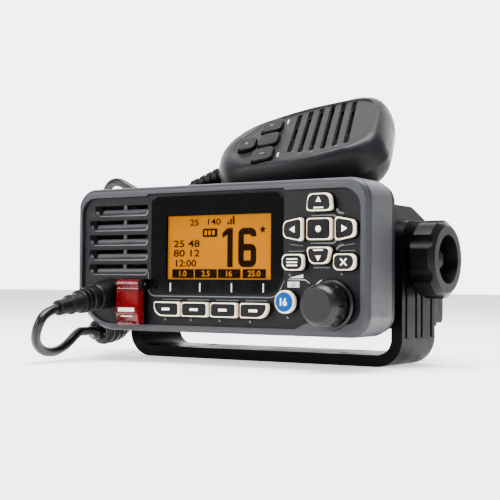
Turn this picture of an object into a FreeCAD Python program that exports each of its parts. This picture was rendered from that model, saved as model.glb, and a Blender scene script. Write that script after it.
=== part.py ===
"""Fixed-mount marine radio with hand microphone on a U-shaped mounting bracket.

Millimetres, +Z up, the panel faces -Y. The origin is the centre of the bracket's underside,
straight below the clamp knobs' axis. Places on the front panel are worked out from the
panel's own lower edge and front face.
"""
import FreeCAD
import Part
import bisect
import math
import os

V = FreeCAD.Vector

# Front panel
panel_width = 156.5
panel_height = 66.5
panel_skirt = 21.0
panel_wall = 2.3
plate_thickness = 2.2
recess_depth = 1.4
edge_round = 2.4
corner_lower_left = 22.0
corner_other = 9.5
bezel_side = 2.9
bezel_top = 4.3
bezel_bottom = 3.0

# Radio body behind the panel
gasket_thickness = 0.8
flange_thickness = 3.7
flange_inset = 0.9
chassis_width = 134.0
chassis_depth = 79.0
chassis_wall = 3.0
chassis_floor_lift = 4.0
chassis_top_drop = 8.5
rear_slope = 20.0
slope_start = 43.0
fin_depth = 12.0
fin_pitch = 6.4
fin_gap = 3.6
fin_half_span = 29.0
cover_thickness = 1.5

# Pivot and bracket
pivot_height = 47.7
pivot_below = 33.5
pivot_back = 55.2
bracket_depth = 35.0
bracket_thickness = 5.2
bracket_corner = 12.5
arm_rise = 17.2
arm_corner = 9.5
rib_height = 1.1
rib_width = 3.4
base_hole_radius = 2.6
base_hole_x = 84.0
base_hole_y = 18.0
side_boss_height = 1.2
side_boss_radius = 11.0
spacer_thickness = 1.4
side_gap = 0.35
bolt_radius = 2.5
bolt_clearance = 0.35
knob_radius = 17.4
knob_length = 12.6
knob_lobes = 7
knob_well_radius = 11.0
washer_thickness = 1.2

# Display and keys
window_left = -34.5
window_key_gap = 1.6
window_bottom = 17.3
window_thickness = 1.4
key_proud = 2.7
key_back = 5.9
key_travel = 0.8
key_gap = 0.35
key_flange = 0.45
key_edge = 0.6
mat_thickness = 2.0
board_thickness = 1.6
pad_from_right = 22.35
menu_key_reach = 17.8
pad_from_top = 21.4
soft_key_height = 6.5
soft_key_bottom = 7.2
channel_key_radius = 4.95

# Volume dial
dial_from_right = 17.75
dial_up = 13.5
dial_radius = 9.3
dial_face_radius = 6.9
dial_length = 10.2
collar_radius = 10.75
collar_proud = 1.2
shaft_radius = 3.0
running_gap = 0.05
encoder_half = 6.0

# Distress switch
distress_x = -43.3
cover_width = 13.4
cover_height = 18.6
cover_wall = 1.2
hinge_up = 21.6
hinge_out = 3.0
barrel_radius = 2.2
pin_radius = 0.8
ear_thickness = 1.9

# Speaker and its slots
slot_count = 5
slot_height = 2.0
slot_right = -36.8
slot_from_left = 6.6
slot_bar_x = -50.8
speaker_radius = 16.8

# Microphone cord
cord_radius = 2.2
boss_x = -59.1
boss_up = 17.3
gland_drop = 11.0
curl_radius = 4.8
curl_turns = 16
curl_run_out = 1.5
run_out_stretch = 1.6

# Hand microphone
mic_length = 84.0
mic_width = 63.0
mic_front_depth = 12.8
mic_rear_depth = 12.9
mic_heading = 13.9
mic_rise = 10.2
mic_lean = 34.7
mic_wall = 2.0
mic_x = 30.4
mic_y = -6.1
mic_key_travel = 0.7
talk_travel = 1.5
seat_gap = 0.3

panel_front = -pivot_back
panel_base = pivot_height - pivot_below


def at(x, y, z):
    """A point given from the panel's front face and lower edge, in the part's own frame."""
    return V(x, panel_front + y, panel_base + z)


def corner_path(points, radii):
    """Edges of a closed outline: straight runs joined by a tangent arc at each corner."""
    edges = []
    count = len(points)
    cuts = []
    for i in range(count):
        here = points[i]
        back = (points[i - 1] - here).normalize()
        onward = (points[(i + 1) % count] - here).normalize()
        half = back.getAngle(onward) / 2.0
        reach = radii[i] / math.tan(half)
        middle = (back + onward).normalize()
        centre = here + middle * (radii[i] / math.sin(half))
        cuts.append((here + back * reach, centre - middle * radii[i], here + onward * reach))
    for i in range(count):
        start, middle, end = cuts[i]
        if start.distanceToPoint(end) > 1e-6:
            edges.append(Part.Arc(start, middle, end).toShape())
        following = cuts[(i + 1) % count][0]
        if end.distanceToPoint(following) > 1e-6:
            edges.append(Part.LineSegment(end, following).toShape())
    return edges


def outline_face(corners, radii, lift):
    """Flat face whose outline has rounded corners; lift turns a 2-D pair into a point."""
    if not isinstance(radii, (list, tuple)):
        radii = [radii] * len(corners)
    points = [lift(u, v) for u, v in corners]
    return Part.Face(Part.Wire(corner_path(points, radii)))


def front_prism(corners, radii, y_start, y_end):
    """Solid with an outline in the panel's plane, from one depth to another."""
    face = outline_face(corners, radii, lambda u, v: at(u, y_start, v))
    return face.extrude(V(0, y_end - y_start, 0))


def side_prism(corners, radii, x_start, x_end):
    """Solid with a side-view outline (depth, height), from one X to another."""
    face = outline_face(corners, radii, lambda u, v: V(x_start, u, v))
    return face.extrude(V(x_end - x_start, 0, 0))


def block(x0, x1, y0, y1, z0, z1):
    """Plain box between two corners."""
    return Part.makeBox(x1 - x0, y1 - y0, z1 - z0, V(x0, y0, z0))


def panel_block(x0, x1, y0, y1, z0, z1):
    """Plain box given from the panel's front face and lower edge."""
    return Part.makeBox(x1 - x0, y1 - y0, z1 - z0, at(x0, y0, z0))


def turned(profile, base, axis):
    """Solid of revolution: profile lists (radius, height along the axis) from base."""
    points = [V(r, 0, h) for r, h in profile]
    wire = Part.makePolygon(points + [points[0]])
    solid = Part.Face(wire).revolve(V(0, 0, 0), V(0, 0, 1), 360)
    solid.Placement = FreeCAD.Placement(base, FreeCAD.Rotation(V(0, 0, 1), axis))
    return solid


def rod(base, axis, radius, length):
    """Round bar."""
    return Part.makeCylinder(radius, length, base, axis)


def tube(base, axis, outer, inner, length):
    """Round bar with a bore."""
    return rod(base, axis, outer, length).cut(rod(base, axis, inner, length))


def rectangle(x0, x1, z0, z1):
    """Corner list of an upright rectangle, lower left first."""
    return [(x0, z0), (x1, z0), (x1, z1), (x0, z1)]


def grow(corners, amount):
    """Corner list moved outwards by one amount on every side."""
    result = []
    count = len(corners)
    for i in range(count):
        before = V(*corners[i - 1], 0)
        here = V(*corners[i], 0)
        after = V(*corners[(i + 1) % count], 0)
        first = (here - before).normalize()
        second = (after - here).normalize()
        normal_a = V(first.y, -first.x, 0)
        normal_b = V(second.y, -second.x, 0)
        shift = (normal_a + normal_b) * (amount / (1.0 + normal_a.dot(normal_b)))
        result.append((here.x + shift.x, here.y + shift.y))
    return result


def soften(shape, radius, wanted):
    """Round the edges that the test picks."""
    return shape.makeFillet(radius, [edge for edge in shape.Edges if wanted(edge)])


def lies_at(edge, axis, value):
    """True where an edge lies flat in the plane axis = value."""
    box = edge.BoundBox
    low, high = {"x": (box.XMin, box.XMax), "y": (box.YMin, box.YMax), "z": (box.ZMin, box.ZMax)}[axis]
    return abs(low - value) < 1e-4 and abs(high - value) < 1e-4


def save(name, shape):
    """Write one node."""
    solids = shape.Solids
    if not solids or not shape.isValid():
        raise RuntimeError("bad solid: " + name)
    if len(solids) == 1:
        shape = solids[0]
    shape.exportStep("parts/" + name + ".step")
    print(name, len(solids), round(shape.Volume, 1))


# Places shared by more than one piece
half_width = panel_width / 2.0
plate_front = recess_depth
plate_back = recess_depth + plate_thickness
window_top = panel_height - 4.5
screen_bottom = window_bottom + 5.4
screen_top = window_top - 8.2
mat_back = key_back + key_travel + seat_gap + mat_thickness
pad_x = half_width - pad_from_right
pad_z = panel_height - pad_from_top
window_right = pad_x - menu_key_reach - window_key_gap
screen_left = window_left + 7.2
screen_right = window_right - 4.2
dial_x = half_width - dial_from_right
chassis_front = panel_skirt + gasket_thickness
chassis_top = panel_height - chassis_top_drop
chassis_half = chassis_width / 2.0
spacer_inner = chassis_half + side_boss_height
arm_inner = spacer_inner + spacer_thickness + side_gap
arm_outer = arm_inner + bracket_thickness
slope_drop = math.tan(math.radians(rear_slope)) * (chassis_depth - slope_start)
panel_outline = rectangle(-half_width, half_width, 0.0, panel_height)
panel_radii = [corner_lower_left, corner_other, corner_other, corner_other]

KEYS = {
    "soft_key_1": (rectangle(-29.9, -15.7, soft_key_bottom, soft_key_bottom + soft_key_height), [4.6, 0.9, 0.9, 0.9]),
    "soft_key_2": (rectangle(-14.3, -0.2, soft_key_bottom, soft_key_bottom + soft_key_height), [0.9] * 4),
    "soft_key_3": (rectangle(1.4, 15.1, soft_key_bottom, soft_key_bottom + soft_key_height), [0.9] * 4),
    "soft_key_4": (rectangle(17.0, 31.1, soft_key_bottom, soft_key_bottom + soft_key_height), [0.9, 4.6, 0.9, 0.9]),
    "up_key": ([(pad_x - 6.2, pad_z + 7.5), (pad_x + 6.2, pad_z + 7.5), (pad_x + 5.3, pad_z + 14.9),
                (pad_x - 5.3, pad_z + 14.9)], [1.4, 1.4, 2.6, 2.6]),
    "down_key": ([(pad_x - 4.2, pad_z - 14.6), (pad_x + 4.2, pad_z - 14.6), (pad_x + 6.1, pad_z - 7.5),
                  (pad_x - 6.1, pad_z - 7.5)], [2.6, 2.6, 1.4, 1.4]),
    "left_key": ([(pad_x - 17.3, pad_z - 3.4), (pad_x - 8.0, pad_z - 5.1), (pad_x - 8.0, pad_z + 5.1),
                  (pad_x - 17.3, pad_z + 3.4)], [2.2, 1.2, 1.2, 2.2]),
    "right_key": ([(pad_x + 7.6, pad_z - 5.1), (pad_x + 16.8, pad_z - 3.4), (pad_x + 16.8, pad_z + 3.4),
                   (pad_x + 7.6, pad_z + 5.1)], [1.2, 2.2, 2.2, 1.2]),
    "enter_key": (rectangle(pad_x - 5.9, pad_x + 5.9, pad_z - 4.6, pad_z + 4.6), [1.3] * 4),
    "menu_key": (rectangle(pad_x - menu_key_reach, pad_x - 7.4, pad_z - 17.3, pad_z - 10.4), [2.8, 2.2, 1.6, 2.2]),
    "clear_key": (rectangle(pad_x + 6.9, pad_x + 16.9, pad_z - 17.3, pad_z - 10.4), [2.2, 2.8, 2.2, 1.6]),
}
channel_x = dial_x - 21.0
channel_z = dial_up + 1.0


def make_front_panel():
    """Moulded front with a bezel, a sunk face, speaker louvres and a hole for each control."""
    body = front_prism(panel_outline, panel_radii, 0.0, panel_skirt)
    body = soften(body, edge_round, lambda e: lies_at(e, "y", panel_front))
    left, right = -half_width + bezel_side, half_width - bezel_side - 1.2
    top, step = panel_height - bezel_top, 1.0
    face = [(left, bezel_bottom), (channel_x + 4.0, bezel_bottom), (channel_x + 9.0, bezel_bottom + 2.6),
            (right, bezel_bottom + 2.6), (right, top), (window_right + 1.6, top),
            (window_right + 0.4, top + step), (window_left - 1.0, top + step), (window_left - 2.6, top), (left, top)]
    face_radii = [corner_lower_left - bezel_side, 6.0, 6.0, 6.5, 8.4, 0.8, 0.8, 0.8, 0.8, 7.5]
    body = body.cut(front_prism(face, face_radii, -1.0, recess_depth))
    inner = rectangle(-half_width + panel_wall, half_width - panel_wall, panel_wall, panel_height - panel_wall)
    inner_radii = [radius - panel_wall for radius in panel_radii]
    body = body.cut(front_prism(inner, inner_radii, plate_back, panel_skirt + 1.0))
    for shape in panel_posts():
        body = body.fuse(shape)
    cutters = list(louvres())
    for corners, radii in KEYS.values():
        cutters.append(front_prism(grow(corners, key_gap), [r + key_gap for r in radii], -1.0, plate_back + 1.0))
    cutters.append(rod(at(channel_x, -1.0, channel_z), V(0, 1, 0), channel_key_radius + key_gap, plate_back + 2.0))
    cutters.append(rod(at(dial_x, -1.0, dial_up), V(0, 1, 0), shaft_radius + 1.6, plate_back + 2.0))
    cutters.append(rod(at(dial_x, -1.0, dial_up), V(0, 1, 0), collar_radius + running_gap, plate_front + 1.0))
    cutters.append(front_prism(rectangle(screen_left, screen_right, screen_bottom, screen_top), 0.8, -1.0, plate_back + 1.0))
    cutters.append(front_prism(window_corners(0.1), [8.1, 8.1, 3.6, 3.6], -1.0, plate_front + window_seat))
    cutters.append(front_prism(distress_opening(0.9), 1.0, -1.0, plate_back + 1.0))
    cutters.append(rod(at(boss_x, -1.0, boss_up), V(0, 1, 0), 4.6, plate_back + 2.0))
    for cutter in cutters:
        body = body.cut(cutter)
    return body


window_seat = 1.0
post_radius = 1.6
post_places = [(window_left + 2.9, window_top - 2.2), (window_left + 2.9, window_bottom + 1.0),
               (window_right - 1.1, window_top - 2.2), (pad_x + 16.6, dial_up + 7.7)]
corner_post_radius = 3.2
corner_post_inset = 8.2


def corner_posts():
    """Centres of the four screw posts in the panel's corners."""
    reach = half_width - corner_post_inset
    return [(-reach, corner_post_inset + 6.0), (reach, corner_post_inset),
            (reach, panel_height - corner_post_inset), (-reach, panel_height - corner_post_inset)]


def panel_posts():
    """Posts behind the plate: short ones carry the front board, long ones take the screws."""
    posts = []
    for x, z in post_places:
        posts.append(rod(at(x, plate_back - 0.5, z), V(0, 1, 0), post_radius, mat_back - plate_back + 0.5))
    for x, z in corner_posts():
        post = rod(at(x, plate_back - 0.5, z), V(0, 1, 0), corner_post_radius, panel_skirt - plate_back + 0.5)
        posts.append(post.cut(rod(at(x, panel_skirt - 9.0, z), V(0, 1, 0), 1.3, 10.0)))
    return posts


def window_corners(gap):
    """Outline of the display window, grown by a gap."""
    return rectangle(window_left - gap, window_right + gap, window_bottom - gap, window_top + gap)


def distress_opening(gap):
    """Outline of the hole for the distress button, grown by a gap."""
    half = distress_half
    return rectangle(distress_x - half - gap, distress_x + half + gap, distress_low - gap, distress_high + gap)


distress_half = 4.9
distress_low = 5.0
distress_high = 17.4


def louvres():
    """Cutters for the speaker's slots: a through slot with a sloping lip under it."""
    top = panel_height - 9.1
    pitch = (top - 29.8) / (slot_count - 1)
    left = -half_width + slot_from_left
    for i in range(slot_count):
        z = panel_base + top - pitch * i
        start = left + (3.2 if i == 0 else 0.0)
        front = panel_front + plate_front
        lip = [(front - 0.6, z + slot_height / 2), (front + 1.0, z + slot_height / 2),
               (front + 1.0, z - slot_height / 2), (front - 0.6, z - slot_height / 2 - 2.9)]
        face = outline_face(lip, 0.05, lambda u, v: V(start, u, v))
        yield face.extrude(V(slot_right - start, 0, 0))
        for x0, x1 in ((start, slot_bar_x - 0.9), (slot_bar_x + 0.9, slot_right)):
            yield panel_block(x0, x1, plate_front, plate_back + 1.0, z - panel_base - slot_height / 2,
                              z - panel_base + slot_height / 2)


def make_gasket():
    """Rubber ring between the panel's rim and the body's flange."""
    outer = front_prism(grow(panel_outline, -flange_inset), [r - flange_inset for r in panel_radii],
                        panel_skirt, chassis_front)
    wall = panel_wall
    inner = front_prism(grow(panel_outline, -wall), [r - wall for r in panel_radii], panel_skirt - 1.0, chassis_front + 1.0)
    ring = outer.cut(inner)
    return ring


def chassis_section(inset, front):
    """Side-view outline of the body, drawn in by an inset, from a front depth."""
    y0 = panel_front + front
    y_slope = panel_front + chassis_front + slope_start
    y1 = panel_front + chassis_front + chassis_depth - inset
    low = panel_base + chassis_floor_lift
    top = panel_base + chassis_top - inset
    return [(y0, low), (y1, low), (y1, top - slope_drop), (y_slope, top), (y0, top)]


def make_chassis():
    """Cast body: flange behind the panel, sloping top, cooling fins at the rear, open below."""
    flange = front_prism(grow(panel_outline, -flange_inset), [r - flange_inset for r in panel_radii],
                         chassis_front, chassis_front + flange_thickness)
    body = side_prism(chassis_section(0.0, chassis_front), [0.2, 2.5, 2.5, 12.0, 0.2], -chassis_half, chassis_half)
    body = body.fuse(flange)
    for sign in (-1, 1):
        boss = rod(V(sign * (chassis_half - 0.5), 0, pivot_height), V(sign, 0, 0), side_boss_radius, side_boss_height + 0.5)
        body = body.fuse(boss)
    front_wall = chassis_front + flange_thickness
    y0 = panel_front + front_wall
    y1 = panel_front + chassis_front + chassis_depth - fin_depth - chassis_wall
    low = panel_base + chassis_floor_lift
    roof = panel_base + chassis_top - chassis_wall
    y_slope = panel_front + chassis_front + slope_start
    drop = math.tan(math.radians(rear_slope)) * (y1 - y_slope)
    hollow = [(y0, low - 1.0), (y1, low - 1.0), (y1, roof - drop - 0.6), (y_slope, roof - 0.6), (y0, roof - 0.6)]
    cavity_half = chassis_half - chassis_wall
    body = body.cut(side_prism(hollow, [0.2, 3.0, 3.0, 9.0, 3.0], -cavity_half, cavity_half))
    body = body.cut(panel_block(-20.0, 20.0, chassis_front - 1.0, front_wall + 1.0, 20.0, 40.0))
    rear = chassis_front + chassis_depth
    count = int(2.0 * fin_half_span / fin_pitch) + 1
    first = -(count - 1) * fin_pitch / 2.0
    for i in range(count):
        x = first + i * fin_pitch
        body = body.cut(panel_block(x - fin_gap / 2, x + fin_gap / 2, rear - fin_depth, rear + 1.0,
                                    chassis_floor_lift + 2.5, chassis_top + 1.0))
    for sign in (-1, 1):
        body = body.cut(rod(V(sign * (chassis_half - insert_length), 0, pivot_height), V(sign, 0, 0),
                            insert_radius, insert_length + side_boss_height + 1.0))
    body = body.cut(rod(at(antenna_x, rear - fin_depth - chassis_wall - 1.0, rear_port_z), V(0, 1, 0), 5.6, fin_depth + 8.0))
    for x in gland_places:
        body = body.cut(rod(at(x, rear - fin_depth - chassis_wall - 1.0, rear_port_z), V(0, 1, 0), 4.1, fin_depth + 8.0))
    envelope = side_prism(chassis_section(chassis_wall / 2, chassis_front), 0.2, -chassis_half, chassis_half)
    for x, y in board_posts:
        post = rod(V(x, y, board_top), V(0, 0, 1), 2.6, chassis_top)
        body = body.fuse(post.common(envelope))
    for x, y in cover_screw_places:
        corner = rod(V(x, y, low), V(0, 0, 1), 3.4, 14.0)
        body = body.fuse(corner).cut(rod(V(x, y, low - 1.0), V(0, 0, 1), 1.25, 11.0))
    for x, z in corner_posts():
        body = body.cut(rod(at(x, chassis_front - 1.0, z), V(0, 1, 0), 1.7, flange_thickness + 2.0))
    return body


insert_radius = 5.0
insert_length = 9.0
antenna_x = -44.0
gland_places = (40.0, 54.0)
rear_port_z = 24.0
board_drop = 18.0
board_level = chassis_top - board_drop
board_top = panel_base + board_level + board_thickness
cavity_front = panel_front + chassis_front + flange_thickness
cavity_back = panel_front + chassis_front + chassis_depth - fin_depth - chassis_wall
board_reach = chassis_half - chassis_wall - 5.0
board_posts = [(sign * (board_reach - 5.0), y) for y in (cavity_front + 8.0, cavity_back - 5.0) for sign in (-1, 1)]
cover_screw_places = [(sign * (chassis_half - 5.4), y) for y in (cavity_front + 5.2, cavity_back - 0.6) for sign in (-1, 1)]


def make_bottom_cover():
    """Pressed plate that closes the body from below."""
    low = panel_base + chassis_floor_lift
    y0 = panel_front + chassis_front + flange_thickness + 0.4
    y1 = panel_front + chassis_front + chassis_depth - 3.0
    corners = [(-chassis_half + 0.8, y0), (chassis_half - 0.8, y0), (chassis_half - 0.8, y1), (-chassis_half + 0.8, y1)]
    face = outline_face(corners, 3.0, lambda u, v: V(u, v, low - cover_thickness))
    plate = face.extrude(V(0, 0, cover_thickness))
    for x, y in cover_screw_places:
        plate = plate.cut(rod(V(x, y, low - 3.0), V(0, 0, 1), 1.7, 4.0))
    return plate


def screw(base, axis, radius, length, head_radius, head):
    """Plain pan-head screw: base is under the head, axis points down the thread."""
    profile = [(0, -head), (head_radius * 0.8, -head), (head_radius, -head * 0.6), (head_radius, 0), (radius, 0),
               (radius, length), (0, length)]
    return turned(profile, base, axis)


def make_screws(places):
    """One compound for screws of one kind."""
    return Part.makeCompound([screw(*place) for place in places])


def make_bracket():
    """U-shaped bracket: base strap, two ribbed arms, pivot holes and fixing holes."""
    top = pivot_height + arm_rise
    half = bracket_depth / 2.0
    t = bracket_thickness
    outline = [(-arm_outer, 0), (arm_outer, 0), (arm_outer, top), (arm_inner, top), (arm_inner, t),
               (-arm_inner, t), (-arm_inner, top), (-arm_outer, top)]
    radii = [bracket_corner, bracket_corner, 0.3, 0.3, bracket_corner - t, bracket_corner - t, 0.3, 0.3]
    face = outline_face(outline, radii, lambda u, v: V(u, -half, v))
    body = face.extrude(V(0, bracket_depth, 0))
    arm = side_prism([(-half, -1), (half, -1), (half, top), (-half, top)], [0.2, 0.2, arm_corner, arm_corner],
                     -arm_outer - rib_height - 1, arm_outer + rib_height + 1)
    body = body.common(arm)
    foot = pivot_height - knob_radius - 2.5
    for sign in (-1, 1):
        for y in (-half + 4.2, -rib_width * 0.9, rib_width * 0.9, half - 4.2):
            groove = side_prism([(y - 1.0, bracket_corner), (y + 1.0, bracket_corner), (y + 1.0, foot + 26.0),
                                 (y - 1.0, foot + 26.0)], 0.9, arm_outer - rib_height, arm_outer + 1.0)
            if sign < 0:
                groove = groove.mirror(V(0, 0, 0), V(1, 0, 0))
            body = body.cut(groove)
        seat = rod(V(sign * arm_outer, 0, pivot_height), V(-sign, 0, 0), knob_radius - 4.0, rib_height)
        body = body.fuse(seat)
        body = body.cut(rod(V(sign * (arm_inner - 1.0), 0, pivot_height), V(sign, 0, 0),
                            bolt_radius + bolt_clearance, bracket_thickness + 3.0))
    for sx in (-1, 1):
        for sy in (-1, 1):
            hole = rod(V(sx * base_hole_x / 2, sy * base_hole_y / 2, -1), V(0, 0, 1), base_hole_radius, t + 2)
            body = body.cut(hole)
    return body


def make_knob(sign):
    """Lobed clamp knob with a deep round well, a domed centre and its moulded-in bolt."""
    inner = arm_outer + washer_thickness + seat_gap
    axis = V(sign, 0, 0)
    base = V(sign * inner, 0, pivot_height)
    blank = turned([(0, 0), (knob_radius - 2.2, 0), (knob_radius, 2.0), (knob_radius, knob_length - 2.4),
                    (knob_radius - 2.6, knob_length), (0, knob_length)], base, axis)
    for i in range(knob_lobes):
        angle = 2 * math.pi * i / knob_lobes
        reach = knob_radius + 4.6
        place = V(sign * (inner - 1.0), reach * math.cos(angle), pivot_height + reach * math.sin(angle))
        blank = blank.cut(rod(place, axis, 6.0, knob_length + 2.0))
    well = turned([(0, knob_length - 6.6), (4.5, knob_length - 7.2), (knob_well_radius - 1.5, knob_length - 8.6),
                   (knob_well_radius, knob_length + 1.0), (0, knob_length + 1.0)], base, axis)
    blank = blank.cut(well)
    dome = turned([(0, knob_length - 9.4), (5.6, knob_length - 9.4), (5.2, knob_length - 5.0),
                   (3.4, knob_length - 3.6), (0, knob_length - 3.0)], base, axis)
    bolt_end = spacer_inner - insert_length + 1.0
    bolt = rod(V(sign * bolt_end, 0, pivot_height), axis, bolt_radius, inner + 3.0 - bolt_end)
    return blank.fuse(dome).fuse(bolt)


def make_washer(sign):
    """Captive friction washer between a knob and the bracket's arm."""
    start = arm_outer + seat_gap / 2
    return tube(V(sign * start, 0, pivot_height), V(sign, 0, 0), knob_radius - 5.0,
                bolt_radius + running_gap, washer_thickness)


def make_side_inserts():
    """Threaded metal inserts in the body's side bosses."""
    pieces = []
    for sign in (-1, 1):
        base = V(sign * (chassis_half - insert_length), 0, pivot_height)
        pieces.append(tube(base, V(sign, 0, 0), insert_radius, bolt_radius + running_gap, insert_length + side_boss_height))
    return Part.makeCompound(pieces)


def make_side_spacers():
    """Rubber rings between the body's side bosses and the bracket's arms."""
    pieces = []
    for sign in (-1, 1):
        base = V(sign * spacer_inner, 0, pivot_height)
        pieces.append(tube(base, V(sign, 0, 0), side_boss_radius, bolt_radius + 0.4, spacer_thickness))
    return Part.makeCompound(pieces)


def make_key(corners, radii):
    """Hard key cap with a retaining flange behind the plate."""
    cap = front_prism(corners, radii, -key_proud, key_back)
    cap = soften(cap, key_edge, lambda e: lies_at(e, "y", panel_front - key_proud))
    wide = [r + key_flange for r in radii]
    return cap.fuse(front_prism(grow(corners, key_flange), wide, plate_back + 0.3, key_back))


def make_channel_key():
    """Round key beside the dial."""
    r = channel_key_radius
    profile = [(0, 0), (r + key_flange, 0), (r + key_flange, key_back - plate_back - 0.3), (r, key_back - plate_back - 0.3),
               (r, key_back + key_proud - key_edge), (r - key_edge, key_back + key_proud), (0, key_back + key_proud + 0.2)]
    return turned(profile, at(channel_x, key_back, channel_z), V(0, -1, 0))


def make_keypad_mat():
    """Rubber sheet whose domes return the keys."""
    front = mat_back - mat_thickness
    row_top = soft_key_bottom + soft_key_height + 2.1
    left = distress_x - 5.8
    corners = [(left, 4.0), (channel_x + 6.2, 4.0), (channel_x + 6.2, pad_z - 20.0), (pad_x + 17.8, pad_z - 20.0),
               (pad_x + 17.8, pad_z + 16.2), (pad_x - 18.6, pad_z + 16.2), (pad_x - 18.6, row_top), (left, row_top)]
    mat = front_prism(corners, [0.8, 0.8, 0.8, 0.8, 7.0, 0.8, 0.8, 0.8], front, mat_back)
    for x, z in corner_posts():
        mat = mat.cut(rod(at(x, front - 1.0, z), V(0, 1, 0), corner_post_radius + 0.5, mat_thickness + 2.0))
    reach = encoder_half + 0.4
    mat = mat.cut(panel_block(dial_x - reach, dial_x + reach, front - 1.0, mat_back + 1.0, dial_up - reach, dial_up + reach))
    return mat


def make_front_board():
    """Circuit board behind the panel, with an arm below the speaker."""
    left, right = window_left + 0.8, half_width - panel_wall - 1.0
    arm = distress_x - 8.5
    corners = [(arm, 3.6), (right, 3.6), (right, panel_height - 3.6), (left, panel_height - 3.6), (left, 22.5), (arm, 22.5)]
    board = front_prism(corners, [1.0, 7.5, 7.5, 1.0, 0.6, 1.0], mat_back, mat_back + board_thickness)
    for x, z in corner_posts():
        board = board.cut(rod(at(x, mat_back - 1.0, z), V(0, 1, 0), corner_post_radius + 0.5, board_thickness + 2.0))
    return board


def make_display():
    """Display module: glass in the opening and its frame against the board."""
    glass = front_prism(rectangle(screen_left + 0.3, screen_right - 0.3, screen_bottom + 0.3, screen_top - 0.3), 0.6,
                        plate_front + window_seat + 0.1, plate_back + 1.0)
    frame = front_prism(rectangle(screen_left - 2.0, screen_right + 1.0, screen_bottom - 2.6, screen_top + 3.6), 1.0,
                        plate_back + 0.1, mat_back)
    return glass.fuse(frame)


def make_window():
    """Clear window over the display, bonded into the plate."""
    start = plate_front + window_seat - window_thickness
    pane = front_prism(window_corners(0.0), [8.0, 8.0, 3.5, 3.5], start, plate_front + window_seat)
    return soften(pane, 0.3, lambda e: lies_at(e, "y", panel_front + start))


def make_speaker():
    """Loudspeaker: ring, basket, cone and magnet."""
    r = speaker_radius
    profile = [(0, 4.0), (3.5, 3.4), (5.0, 4.4), (r - 3.0, 1.0), (r - 1.6, 0.3), (r - 1.0, 0.0), (r, 0.0), (r, 1.6), (r - 2.0, 1.8),
               (9.6, 6.0), (9.6, 11.5), (8.8, 12.0), (0, 12.0)]
    x = (slot_right - half_width + slot_from_left) / 2.0
    return turned(profile, at(x, plate_back, panel_height - 23.1), V(0, 1, 0))


def make_dial_collar():
    """Raised ring that the dial turns over."""
    high = collar_proud + plate_front
    profile = [(shaft_radius + 0.7, 0), (collar_radius, 0), (collar_radius, high - 0.7), (collar_radius - 0.7, high),
               (shaft_radius + 0.7, high)]
    return turned(profile, at(dial_x, plate_front, dial_up), V(0, -1, 0))


def make_dial_encoder():
    """Rotary encoder with its bushing through the plate."""
    bush = shaft_radius + 0.6
    half = encoder_half
    body = front_prism(rectangle(dial_x - half, dial_x + half, dial_up - half, dial_up + half), 0.6,
                       plate_back + 0.6, mat_back)
    body = body.fuse(rod(at(dial_x, -0.2, dial_up), V(0, 1, 0), bush, plate_back + 2.0))
    return body.cut(rod(at(dial_x, -1.0, dial_up), V(0, 1, 0), shaft_radius + running_gap, mat_back + 2.0))


shaft_back = 7.0
shaft_tip = -9.6


def make_dial_plunger():
    """Push-switch plunger behind the shaft."""
    return rod(at(dial_x, shaft_back + running_gap, dial_up), V(0, 1, 0), shaft_radius, 0.9)


def make_dial_shaft():
    """Encoder shaft."""
    return rod(at(dial_x, shaft_tip, dial_up), V(0, 1, 0), shaft_radius, shaft_back - shaft_tip)


def make_dial_knob():
    """Volume dial: tapered grip with finger notches and a flat face."""
    gap = collar_proud + key_travel + seat_gap
    profile = [(0, 0), (dial_radius, 0), (dial_radius, 1.6), (dial_radius - 0.6, dial_length - 2.4),
               (dial_face_radius + 0.5, dial_length - 0.3), (dial_face_radius, dial_length), (0, dial_length)]
    knob = turned(profile, at(dial_x, -gap, dial_up), V(0, -1, 0))
    for i in range(12):
        angle = 2 * math.pi * i / 12
        reach = dial_radius + 0.9
        place = at(dial_x + reach * math.cos(angle), -gap - 1.6, dial_up + reach * math.sin(angle))
        knob = knob.cut(rod(place, V(0, -1, 0), 1.5, dial_length))
    return knob.cut(rod(at(dial_x, 0.0, dial_up), V(0, -1, 0), shaft_radius + running_gap, -shaft_tip + 0.1))


def make_distress_frame():
    """Hinge frame round the distress button, with two ears for the cover's pin."""
    half = cover_width / 2.0
    outer = half + ear_thickness
    thick = plate_front + 0.4
    frame = front_prism(rectangle(distress_x - half, distress_x + half, bezel_bottom + 0.2, hinge_up + 2.6), 1.2,
                        -0.4, plate_front)
    frame = frame.cut(front_prism(distress_opening(key_gap), 0.8, -1.0, thick + 2.0))
    for x in (distress_x - outer, distress_x + half):
        ear = front_prism(rectangle(x, x + ear_thickness, hinge_up - barrel_radius - 0.1,
                                    hinge_up + barrel_radius + 0.1), 0.3, -hinge_out, plate_front)
        frame = frame.fuse(ear)
        frame = frame.fuse(rod(at(x, -hinge_out, hinge_up), V(1, 0, 0), barrel_radius + 0.1, ear_thickness))
    return frame.cut(rod(at(distress_x - outer - 1, -hinge_out, hinge_up), V(1, 0, 0), pin_radius, 2 * outer + 2))


def make_cover_pin():
    """Hinge pin of the distress cover."""
    outer = cover_width / 2.0 + ear_thickness
    return rod(at(distress_x - outer, -hinge_out, hinge_up), V(1, 0, 0), pin_radius, 2 * outer)


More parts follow.
